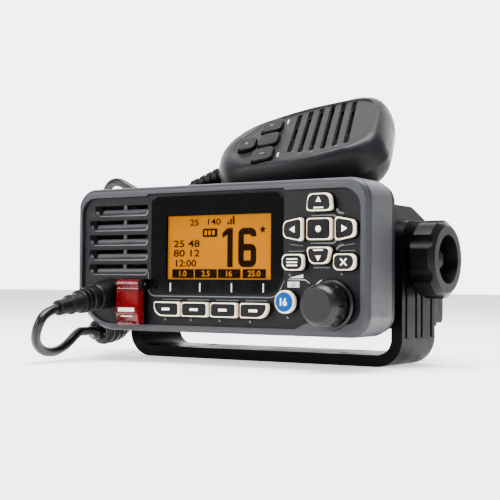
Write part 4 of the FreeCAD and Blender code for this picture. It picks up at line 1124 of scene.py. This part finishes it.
@dataclass
class DisplayFace:
    """What the lit display shows, and the print on its window."""

    datum: Datum
    library: Library
    screen_depth: float = 2.5
    window_depth: float = 1.0
    ink: float = 0.03
    cell_ink: float = 0.05
    tick_height: float = 0.05
    cell_width: float = 12.1
    cell_lefts: tuple[float, ...] = (-23.2, -10.6, 2.0, 15.1)
    cell_texts: tuple[str, ...] = ("1.0", "2.5", "16", "25.0")

    def flat(self, shape: Rounded, depth: float, thickness: float) -> bmesh.types.BMesh:
        """Thin plate at a depth."""
        return plate(shape, self.datum.sheet(depth), Vector((0, -thickness * MM, 0)))

    def spot(self, shape: Rounded) -> bmesh.types.BMesh:
        """A dark mark on the screen."""
        return self.flat(shape, self.screen_depth, self.ink)

    def digits(self, text: str, x0: float, x1: float, z0: float, z1: float) -> bmesh.types.BMesh:
        """Digits that fill a box on the screen.

        Args:
            text: Digits to draw.
            x0: Left side of the box.
            x1: Right side.
            z0: Lower side.
            z1: Upper side.

        Returns:
            The mesh.
        """
        place = self.datum.at((x0 + x1) / 2, self.screen_depth - self.ink, (z0 + z1) / 2)
        mesh = lettering(text, z1 - z0, 1.0, self.ink, place, FACING)
        width = max(v.co.x for v in mesh.verts) - min(v.co.x for v in mesh.verts)
        factor = (x1 - x0) * MM / width
        shift = Matrix.Translation(place) @ Matrix.Diagonal((factor, 1, 1, 1)) @ Matrix.Translation(-place)
        bmesh.ops.transform(mesh, verts=mesh.verts, matrix=shift)
        return mesh

    def big_digits(self) -> list[bmesh.types.BMesh]:
        """The large channel number, drawn with bold rounded strokes.

        Returns:
            The meshes.
        """
        low, high = 29.3, 46.6
        stroke = 3.0
        half = stroke / 2
        left, right, waist = 14.2, 20.7, 38.0
        one = [(8.4, low), (8.4, high)]
        six = [(right, high - 3.9), (right, high - half), (left, high - half), (left, low + half),
               (right, low + half), (right, waist), (left + half, waist)]
        lift = self.datum.sheet(self.screen_depth)
        push = Vector((0, -self.ink * MM, 0))
        flag = Rounded(((4.2, 42.2), (6.9, 43.6), (6.9, 46.6), (4.2, 44.4)), (0.2,) * 4)
        strokes = [ribbon(line, stroke, lift, push, 1.0) for line in (one, rounded_line(six, 1.7))]
        return strokes + [self.spot(flag)]

    def star(self, x: float, z: float, size: float) -> list[bmesh.types.BMesh]:
        """Small star of five points.

        Args:
            x: Its middle, across.
            z: Its middle, upwards.
            size: From its middle to a point, in millimetres.

        Returns:
            The mesh, in a list.
        """
        points = []
        for i in range(10):
            angle = math.radians(90.0 + 36.0 * i)
            reach = size if i % 2 == 0 else 0.42 * size
            points.append((x + reach * math.cos(angle), z + reach * math.sin(angle)))
        return [self.spot(Rounded(tuple(points), (0.02,) * 10))]

    def build(self) -> None:
        """Make the shown marks and the window's print."""
        dark = self.big_digits() + self.star(25.4, 45.7, 2.0)
        dark.append(self.digits("25", -13.4, -8.6, 48.0, 50.9))
        dark.append(self.digits("140", -3.6, 3.4, 48.2, 51.0))
        for shift in (0.0, 1.4, 2.8):
            dark.append(self.spot(box_outline(6.9 + shift, 7.9 + shift, 48.2, 49.4 + 0.9 * shift, 0.1)))
        dark.append(self.digits("25 48", -22.5, -8.0, 38.4, 41.6))
        dark.append(self.digits("80 12", -22.5, -8.0, 34.1, 37.3))
        dark.append(self.digits("12:00", -21.2, -9.8, 29.6, 32.7))
        dark.append(self.spot(box_outline(-6.4, 1.6, 42.8, 46.6, 0.7)))
        for left in self.cell_lefts:
            dark.append(self.spot(box_outline(left, left + self.cell_width, 24.5, 28.5, 0.4)))
        new_piece("screen_marks", join(dark), self.library["lcd_ink"], Body.RADIO, Slot.DISPLAY)
        light = []
        for left, text in zip(self.cell_lefts, self.cell_texts):
            middle = self.datum.at(left + 6.0, self.screen_depth - self.cell_ink, 26.5)
            light.append(lettering(text, 2.6, 1.1, self.ink, middle, FACING))
        for k in range(3):
            start = -5.4 + 2.1 * k
            bar = box_outline(start, start + 1.3, 43.7, 45.7, 0.2)
            light.append(self.flat(bar, self.screen_depth - self.ink, self.ink))
        new_piece("screen_cells", join(light), self.library["screen"], Body.RADIO, Slot.DISPLAY)
        ticks = []
        for x in (-23.1, -6.7, 10.3, 26.8):
            tick = box_outline(x - 0.27, x + 0.27, 18.3, 22.2, 0.1)
            ticks.append(self.flat(tick, self.window_depth, self.tick_height))
        new_piece("window_ticks", join(ticks), self.library["white_ink_painted_glow"], Body.RADIO, Slot.WINDOW)


@dataclass
class PanelMarks:
    """Raised ridges with painted highlights, painted highlights and shade at the speaker's slots, small
    triangles and printed signs on the front panel, and the dial's face.
    """

    datum: Datum
    library: Library
    face: float = FACE_DEPTH
    bury: float = 0.05
    print_height: float = 0.10
    sign_height: float = 0.14
    index_height: float = 0.12
    hook_height: float = 0.12
    bar_height: float = 0.06
    pip_half: float = 0.6
    pip_height: float = 0.3
    dial_reach: float = 10.15
    slot_heights: tuple[float, ...] = (57.4, 50.5, 43.6, 36.7, 29.8)

    def lift(self, u: float, v: float) -> Vector:
        """A point on the sunk face."""
        return self.datum.at(u, self.face + self.bury, v)

    def ridge(self, line: list[Pair], width: float = 0.75, height: float = 0.45) -> bmesh.types.BMesh:
        """A raised ridge on the sunk face."""
        return ribbon(line, width, self.lift, Vector((0, -(height + self.bury) * MM, 0)))

    def pip(self, tip: float, low: float, high: float) -> bmesh.types.BMesh:
        """A small raised triangle that points up."""
        shape = Rounded(((tip - self.pip_half, low), (tip + self.pip_half, low), (tip, high)), (0.05,) * 3)
        return plate(shape, self.lift, Vector((0, -self.pip_height * MM, 0)))

    def ridges(self) -> list[bmesh.types.BMesh]:
        """Raised ridges round the keys and the channel key, drawn light grey as painted highlights, and a
        painted highlight along the window's lower edge.

        Returns:
            The meshes.
        """
        # Painted highlight along the window's lower edge
        window_edge_highlight = [(-35.9, 27.0), (-35.9, 16.2), (33.6, 16.2), (37.2, 23.4)]
        meshes = [
            self.ridge(rounded_line([(50.6, 50.9), (62.4, 50.9), (62.7, 48.6)], 2.2)),
            self.ridge(rounded_line([(50.2, 39.3), (61.9, 39.2), (62.3, 40.8)], 1.6)),
            self.ridge(rounded_line([(62.6, 53.6), (63.0, 52.0), (66.0, 51.4)], 1.5), 0.9),
            self.ridge(rounded_line([(65.9, 38.4), (63.6, 38.2), (62.4, 36.2)], 1.8), 0.9),
            self.ridge([(39.4, 36.0), (47.0, 36.0)]),
            self.ridge([(64.2, 36.0), (71.4, 36.0)]),
            self.ridge([(51.8, 29.0), (59.4, 29.0)]),
            self.ridge([(40.2, 38.9), (46.4, 38.2)], 0.5),
            self.ridge([(65.4, 38.1), (71.0, 38.9)], 0.5),
            self.ridge(rounded_line(window_edge_highlight, 4.0), 0.45, 0.3),
        ]
        for left, right in ((-27.5, -16.8), (-13.4, -1.4), (2.3, 14.0), (17.9, 28.6)):
            meshes.append(self.ridge([(left, 14.7), (right, 14.7)], 0.7))
        for tip in (-26.0, -11.6, 4.0, 20.0):
            meshes.append(self.pip(tip, 5.2, 6.3))
        for tip, low in ((39.9, 25.6), (64.9, 25.9), (39.0, 7.4)):
            meshes.append(self.pip(tip, low, low + 1.0))
        return meshes

    def slots(self) -> None:
        """Painted highlights as light lines along the lips under the speaker's slots, and painted shade as
        dark hooks at their left ends.
        """
        lip_highlights = []
        hook_shades = []
        for i, z in enumerate(self.slot_heights):
            left = -68.2 if i == 0 else -71.4
            # Painted highlight: a light line along the slot's lower lip
            lip = [(left + 3.0, z - 3.9), (-37.2, z - 3.9), (-36.6, z - 2.0)]
            lip_highlights.append(self.ridge(rounded_line(lip, 1.4), 0.45, 0.2))
            # Painted shade: a dark patch at the slot's left end
            hook = Rounded(((left + 0.2, z + 1.0), (left + 2.9, z - 3.2), (left + 4.4, z - 3.2),
                            (left + 4.0, z + 1.0)), (0.1,) * 4)
            hook_shades.append(plate(hook, self.lift, Vector((0, -self.hook_height * MM, 0))))
        new_piece("slot_lip_highlights", join(lip_highlights), self.library["ridge"], Body.RADIO, Slot.PANEL)
        new_piece("slot_hook_shades", join(hook_shades), self.library["deep"], Body.RADIO, Slot.PANEL)

    def dial(self) -> None:
        """Grey face of the dial, and the index arc beside it."""
        low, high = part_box("dial_knob")
        middle = Vector(((low.x + high.x) / 2, low.y, (low.z + high.z) / 2))
        toward = Vector((0, -1, 0))
        profile = [(0, 0), (6.7, 0), (6.7, 0.12), (6.5, 0.20), (0, 0.24)]
        face = disc(middle + toward * -0.02 * MM, toward, profile, 64)
        new_piece("dial_face", face, self.library["dial_face"], Body.DIAL, Slot.BLACK_KEY)
        x = middle.x / MM
        z = (middle.z - self.datum.base) / MM
        line = arc_line(x, z, self.dial_reach + 1.3, 116.0, 140.0)
        arc = ribbon(line, 0.5, self.lift, Vector((0, -self.index_height * MM, 0)))
        new_piece("dial_index", arc, self.library["white_ink_painted_glow"], Body.RADIO, Slot.PANEL)

    def signs(self) -> None:
        """Loudness wedge, its leader line and the plain power sign."""
        push = Vector((0, -self.print_height * MM, 0))
        light = [plate(Rounded(((39.2, 24.6), (46.4, 24.6), (46.4, 26.2)), (0.08,) * 3), self.lift, push),
                 ribbon([(39.0, 23.9), (47.4, 23.9), (49.6, 22.4)], 0.3, self.lift, push),
                 plate(box_outline(38.8, 44.6, 20.6, 23.1, 0.3), self.lift, push)]
        new_piece("panel_signs", join(light), self.library["white_ink_painted_glow"], Body.RADIO, Slot.PANEL)
        higher = Vector((0, -self.sign_height * MM, 0))
        x, z = 41.7, 21.8
        dark = [ribbon(arc_line(x, z, 0.72, 130.0, 410.0), 0.26, self.lift, higher),
                ribbon([(x, z), (x, 22.9)], 0.26, self.lift, higher)]
        new_piece("power_sign", join(dark), self.library["key_top"], Body.RADIO, Slot.PANEL)

    def cover(self) -> None:
        """Bare bars on the hinged cover."""
        low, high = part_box("distress_cover")
        left = low.x / MM + 1.6
        right = high.x / MM - 1.6
        base = (low.z - self.datum.base) / MM
        depth = (low.y - self.datum.front) / MM - 0.02
        bars = [(left, right, base + 6.2, base + 8.0), (left + 1.8, right - 1.0, base + 3.9, base + 4.4)]
        push = Vector((0, -self.bar_height * MM, 0))
        meshes = [plate(box_outline(*bar, 0.2), self.datum.sheet(depth), push) for bar in bars]
        new_piece("cover_bars", join(meshes), self.library["white_ink_painted_glow"], Body.COVER, Slot.PANEL)

    def build(self) -> None:
        """Make all of them."""
        # Light-grey ridges and triangles; on the ridges the light grey is a painted highlight
        new_piece("panel_ridges", join(self.ridges()), self.library["ridge"], Body.RADIO, Slot.PANEL)
        self.slots()
        self.dial()
        self.signs()
        self.cover()


@dataclass
class Cord:
    """One unbroken cord: free loop, curls and the tail to the microphone."""

    datum: Datum
    library: Library
    radius: float = 2.2
    turns: int = 16
    curl: float = 4.8
    run_out: float = 1.5
    run_out_stretch: float = 1.6
    phase: float = 200.0
    lead: float = 4.4
    per_turn: int = 16
    gland_aside: float = -0.03
    gland_tilt: float = 11.0
    gland_reach: float = 35.6
    gland_lead: float = 7.5
    tail_lead: float = 9.0
    relief_lead: float = 6.0

    def course(self) -> list[Vector]:
        """Control points of the curls' centre line, as in the frame, in metres."""
        at = self.datum.at
        return [at(-74.5, 1.0, -1.2), at(-80.0, 50.0, -3.0), at(-118.0, 84.0, 2.0), at(-99.0, 48.0, 60.0)]

    def bezier(self, s: float) -> tuple[Vector, Vector]:
        """Place and direction on the curls' centre line.

        Args:
            s: Value of the curve, from 0 to 1.

        Returns:
            The place and the direction.
        """
        a, b, c, d = self.course()
        r = 1.0 - s
        place = a * r ** 3 + b * (3 * r * r * s) + c * (3 * r * s * s) + d * s ** 3
        heading = (b - a) * (3 * r * r) + (c - b) * (6 * r * s) + (d - c) * (3 * s * s)
        return place, heading.normalized()

    def distances(self, steps: int = 400) -> list[float]:
        """Distance along the centre line at equal steps of the curve.

        Args:
            steps: Number of steps.

        Returns:
            The distances, from 0 to the whole length.
        """
        table = [0.0]
        last = self.bezier(0.0)[0]
        for i in range(1, steps + 1):
            here = self.bezier(i / steps)[0]
            table.append(table[-1] + (here - last).length)
            last = here
        return table

    def along(self, table: list[float], share: float) -> tuple[Vector, Vector]:
        """Place and direction at a share of the centre line's length.

        Args:
            table: Distances at equal steps of the curve.
            share: Share of the whole length.

        Returns:
            The place and the direction.
        """
        target = min(max(share, 0.0), 1.0) * table[-1]
        step = 0
        while step < len(table) - 2 and table[step + 1] < target:
            step += 1
        part = (target - table[step]) / (table[step + 1] - table[step])
        return self.bezier((step + part) / (len(table) - 1))

    def spread(self, turn: float) -> tuple[float, float]:
        """How the curls open out near an end.

        Args:
            turn: Turns from that end.

        Returns:
            Share of the full radius, and extra advance in turns.
        """
        if turn >= self.run_out:
            return 1.0, self.run_out_stretch * self.run_out / 2.0
        wave = math.pi * turn / self.run_out
        extra = turn / 2.0 + self.run_out / (2.0 * math.pi) * math.sin(wave)
        return math.sin(wave / 2.0) ** 2, self.run_out_stretch * extra

    def curls(self) -> list[Vector]:
        """Points of the helix.

        Returns:
            The points, in metres.
        """
        table = self.distances()
        whole = self.run_out_stretch * self.run_out
        reference = Vector((1.0, 0.35, 0.0))
        points = []
        for i in range(self.turns * self.per_turn + 1):
            turn = i / self.per_turn
            share_a, extra_a = self.spread(turn)
            share_b, extra_b = self.spread(self.turns - turn)
            travel = turn + extra_a + whole / 2.0 - extra_b
            place, heading = self.along(table, travel / (self.turns + whole))
            across = (reference - heading * reference.dot(heading)).normalized()
            upward = heading.cross(across)
            angle = 2 * math.pi * turn + math.radians(self.phase)
            reach = self.curl * MM * share_a * share_b
            points.append(place + (across * math.cos(angle) + upward * math.sin(angle)) * reach)
        return points

    def loop(self) -> list[Vector]:
        """Route from the gland round to the curls, as in the frame.

        Returns:
            The points, in metres.
        """
        at = self.datum.at
        tilt = math.radians(self.gland_tilt)
        axis = Vector((self.gland_aside, -math.cos(tilt), -math.sin(tilt))).normalized()
        gland_tip = at(-59.1, 1.4, 17.3) + axis * self.gland_reach * MM
        return [gland_tip, gland_tip + axis * self.gland_lead * MM, at(-60.0, -46.0, 3.0),
                at(-65.0, -42.5, -3.6), at(-69.0, -34.5, -8.4), at(-71.3, -24.5, -10.2),
                at(-73.0, -14.0, -8.0)]

    def tail(self, tip: Vector, axis: Vector, start: Vector, heading: Vector) -> list[Vector]:
        """Route from the curls over the body to the microphone, as in the frame.

        Args:
            tip: Where the cord enters the microphone's relief.
            axis: Direction of the relief, outwards.
            start: End of the curls.
            heading: Direction of the centre line there.

        Returns:
            The points, in metres.
        """
        at = self.datum.at
        far = self.lead + self.tail_lead
        return [start + heading * self.lead * MM, start + heading * far * MM, at(-86.0, 38.0, 75.0),
                at(-75.0, 39.0, 69.0), at(-64.0, 42.0, 64.0), at(-53.0, 43.5, 65.5),
                tip + axis * self.relief_lead * MM, tip]

    def sweep(self, route: list[Vector]) -> tuple[bpy.types.Mesh, list[Vector]]:
        """Draw a round cord along its route.

        Args:
            route: Control points, in metres.

        Returns:
            The cord's mesh, and points along its middle.
        """
        curve = bpy.data.curves.new("mic_cord_line", "CURVE")
        curve.dimensions = "3D"
        curve.resolution_u = 4
        spline = curve.splines.new("NURBS")
        spline.points.add(len(route) - 1)
        for point, place in zip(spline.points, route):
            point.co = (*place, 1.0)
        spline.order_u = 3
        spline.use_endpoint_u = True
        line = add_object("mic_cord_line", curve)
        thin = bpy.data.meshes.new_from_object(line)
        path = [v.co.copy() for v in thin.vertices]
        curve.bevel_depth = self.radius * MM
        curve.bevel_resolution = 4
        curve.use_fill_caps = True
        data = bpy.data.meshes.new_from_object(line)
        bpy.data.meshes.remove(thin)
        bpy.data.objects.remove(line)
        return data, path

    def build(self, tip: Vector, axis: Vector) -> None:
        """Args:
            tip: Where it enters the microphone's relief.
            axis: Direction of the relief, outwards.
        """
        table = self.distances()
        first = self.along(table, 0.0)[1]
        end, last = self.along(table, 1.0)
        curls = self.curls()
        route = self.loop() + [curls[0] - first * self.lead * MM] + curls + self.tail(tip, axis, end, last)
        data, path = self.sweep(route)
        data.name = "mic_cord"
        data.materials.clear()
        data.materials.append(self.library["cord_jacket"])
        for polygon in data.polygons:
            polygon.use_smooth = True
        cord = add_object("mic_cord", data)
        length = sum((b - a).length for a, b in zip(path, path[1:]))
        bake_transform(cord)
        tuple(end)
        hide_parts(*BARE)
        tuple(path[0])
        [tuple(p) for p in path]
        log.info("cord: %.3f m long, %d points", length, len(path))


@dataclass(frozen=True)
class MicrophoneFrame:
    """The microphone's own frame where it lies on the radio; sizes in millimetres."""

    base: Vector
    turn: Matrix
    length: float = 84.0
    front_end: float = 27.5
    relief_sink: float = 3.0
    relief_level: float = -12.8
    relief_reach: float = 20.3
    relief_drop: float = 0.16

    def at(self, along: float, across: float, up: float) -> Vector:
        """A point from millimetres in the microphone's frame."""
        return self.base + self.turn @ Vector((along * MM, across * MM, up * MM))

    def cord_entry(self) -> tuple[Vector, Vector]:
        """Where the cord enters the relief.

        Returns:
            The relief's tip, and its direction outwards.
        """
        relief = self.turn @ Vector((-1.0, 0.0, -self.relief_drop)).normalized()
        root = self.at(self.front_end - self.length + self.relief_sink, 0.0, self.relief_level)
        return root + relief * self.relief_reach * MM, relief


@dataclass
class MicrophoneMarks:
    """Painted shade as dark sheets on the groove floors, and the small signs on the microphone's face."""

    frame: MicrophoneFrame
    library: Library
    floor: float = -1.2
    floor_height: float = 0.05
    face: float = -0.5
    key_top: float = 1.5
    first_slot: float = 11.8
    slot_step: float = 5.5
    slot_half: float = 1.1
    sign_sink: float = 0.02
    sign_height: float = 0.08
    # Both ends of each slot, and both ends of the part of it that goes through
    slots: tuple[tuple[float, float, float, float], ...] = (
        (-20.6, 23.0, -11.4, 14.7), (-20.9, 24.2, -14.8, 17.3), (-21.3, 24.4, -19.4, 22.6),
        (-20.6, 23.3, -14.7, 20.4), (-19.9, 23.0, -12.6, 16.4), (-17.4, 21.8, -3.6, 7.6))

    def slab(self, shape: Rounded, level: float, thickness: float) -> bmesh.types.BMesh:
        """Thin plate parallel to the microphone's face."""
        push = self.frame.turn @ Vector((0, 0, thickness * MM))
        return plate(shape, lambda u, v: self.frame.at(u, v, level), push)

    def sign(self, shape: Rounded, level: float) -> bmesh.types.BMesh:
        """A small sign that is sunk a little into a face."""
        return self.slab(shape, level - self.sign_sink, self.sign_height)

    def build(self) -> None:
        """Make them."""
        # Painted shade: a dark sheet on each groove's floor
        groove_shades = []
        for i, (low, high, through_low, through_high) in enumerate(self.slots):
            x = self.first_slot - self.slot_step * i
            for start, end in ((low + 0.2, through_low - 0.1), (through_high + 0.1, high - 0.2)):
                groove = box_outline(x - self.slot_half, x + self.slot_half, start, end, 0.9)
                groove_shades.append(self.slab(groove, self.floor, self.floor_height))
        new_piece("mic_groove_shades", join(groove_shades), self.library["deep"], Body.MICROPHONE, Slot.PANEL)
        shapes = {
            "mic_up_key": Rounded(((-29.6, 12.2), (-27.6, 12.2), (-28.6, 14.0)), (0.1,) * 3),
            "mic_down_key": Rounded(((-38.8, -0.4), (-39.8, -2.4), (-37.8, -2.4)), (0.1,) * 3),
            "mic_low_key": box_outline(-29.6, -27.4, -16.8, -16.0, 0.2),
        }
        for key, shape in shapes.items():
            mesh = self.sign(shape, self.key_top)
            new_piece(key + "_sign", mesh, self.library["ridge"], key, Slot.BLACK_KEY)
        signs = [self.sign(box_outline(-21.6, -21.0, 15.0, 19.0, 0.1), self.face),
                 self.sign(box_outline(-21.4, -20.8, -19.4, -15.4, 0.1), self.face)]
        new_piece("mic_signs", join(signs), self.library["white_ink_painted_glow"], Body.MICROPHONE, Slot.PANEL)


def microphone_frame() -> MicrophoneFrame:
    """Where the microphone rests, from the same angles as in the frame."""
    yaw, lean, tilt = (math.radians(angle) for angle in (13.9, -10.2, 34.7))
    turn = Matrix.Rotation(yaw, 3, "Z") @ Matrix.Rotation(lean, 3, "Y") @ Matrix.Rotation(tilt, 3, "X")
    seat = Vector((30.4 * MM, -6.1 * MM, 109.639 * MM))
    return MicrophoneFrame(seat, turn)


# Stage, lights and camera


@dataclass
class Studio:
    """Pale floor, soft lights and the photograph's camera."""

    camera_place: Place = (288.93, -471.08, 36.09)
    yaw: float = 32.84
    pitch: float = 1.715
    roll: float = 0.418
    lens: float = 82.2
    sensor: float = 36.0
    floor_reach: float = 4.0
    floor_glow: float = 0.9
    # The camera's own direction, and where the background turns bright, as cosines from it
    away: Place = (-0.542, 0.840, 0.0)
    fade: Pair = (0.5, 0.9)
    front_glow: float = 0.5
    back_glow: float = 5.5
    aim: Place = (0.0, 0.0, 0.06)

    def camera(self) -> None:
        """The camera, placed from the panel's four edges in the photograph."""
        data = bpy.data.cameras.new("camera")
        data.lens = self.lens
        data.sensor_width = self.sensor
        data.clip_start = 0.01
        camera = add_object("camera", data)
        turn = (Matrix.Rotation(math.radians(self.yaw), 4, "Z")
                @ Matrix.Rotation(math.radians(90.0 + self.pitch), 4, "X")
                @ Matrix.Rotation(math.radians(self.roll), 4, "Z"))
        camera.matrix_world = Matrix.Translation(Vector(self.camera_place) * MM) @ turn
        bpy.context.scene.camera = camera

    def floor(self) -> None:
        """A wide pale floor."""
        mesh = bmesh.new()
        bmesh.ops.create_grid(mesh, x_segments=1, y_segments=1, size=self.floor_reach)
        data = bpy.data.meshes.new("floor")
        mesh.to_mesh(data)
        mesh.free()
        shader = Shader("floor")
        shader.feed("Base Color", shader.mix(shader.noise(3.0, 2.0), (0.86, 0.86, 0.86), (0.9, 0.9, 0.9)))
        shader.set("Roughness", 0.9)
        shader.set("Specular IOR Level", 0.1)
        shader.set("Emission Color", (1.0, 1.0, 1.0, 1.0))
        shader.set("Emission Strength", self.floor_glow)
        data.materials.append(shader.material)
        floor = add_object("floor", data)

    def light(self, name: str, place: Place, size: Pair, power: float) -> None:
        """One soft rectangular light that points at the object.

        Args:
            name: Its name.
            place: Where it stands, in metres.
            size: Width and height in metres.
            power: Watts.
        """
        data = bpy.data.lights.new(name, "AREA")
        data.shape = "RECTANGLE"
        data.size, data.size_y = size
        data.energy = power
        lamp = add_object(name, data)
        lamp.location = place
        lamp.rotation_euler = (Vector(self.aim) - Vector(place)).to_track_quat("-Z", "Y").to_euler()

    def backdrop(self) -> None:
        """A background that is bright behind the object and dim in front of it."""
        world = bpy.data.worlds.new("world")
        bpy.context.scene.world = world
        world.use_nodes = True
        tree = world.node_tree
        sky = tree.nodes["Background"]
        sky.inputs["Color"].default_value = (1.0, 1.0, 1.0, 1.0)
        direction = tree.nodes.new("ShaderNodeTexCoord")
        along = tree.nodes.new("ShaderNodeVectorMath")
        along.operation = "DOT_PRODUCT"
        along.inputs[1].default_value = self.away
        fade = tree.nodes.new("ShaderNodeMapRange")
        fade.inputs["From Min"].default_value = self.fade[0]
        fade.inputs["From Max"].default_value = self.fade[1]
        fade.inputs["To Min"].default_value = self.front_glow
        fade.inputs["To Max"].default_value = self.back_glow
        tree.links.new(direction.outputs["Generated"], along.inputs[0])
        tree.links.new(along.outputs["Value"], fade.inputs["Value"])
        tree.links.new(fade.outputs["Result"], sky.inputs["Strength"])

    def build(self) -> None:
        """Make the stage."""
        self.camera()
        self.floor()
        self.backdrop()
        self.light("top", (0.1, -0.1, 0.95), (0.9, 0.6), 38.0)
        self.light("right", (0.85, -0.35, 0.45), (0.35, 0.8), 1.5)
        self.light("front", (-0.55, -0.85, 0.45), (0.7, 0.5), 11.0)
        log.info("studio ready")


def main() -> None:
    """Build the scene."""
    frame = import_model()
    low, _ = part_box("front_panel")
    datum = Datum(low.y, low.z)
    library = Library(datum)
    library.build()
    dress_frame(frame["nodes"], library)
    Studio().build()
    mic = microphone_frame()
    Cord(datum, library).build(*mic.cord_entry())
    Keypad(datum, library).build()
    DisplayFace(datum, library).build()
    PanelMarks(datum, library).build()
    MicrophoneMarks(mic, library).build()


if __name__ == "__main__":
    main()
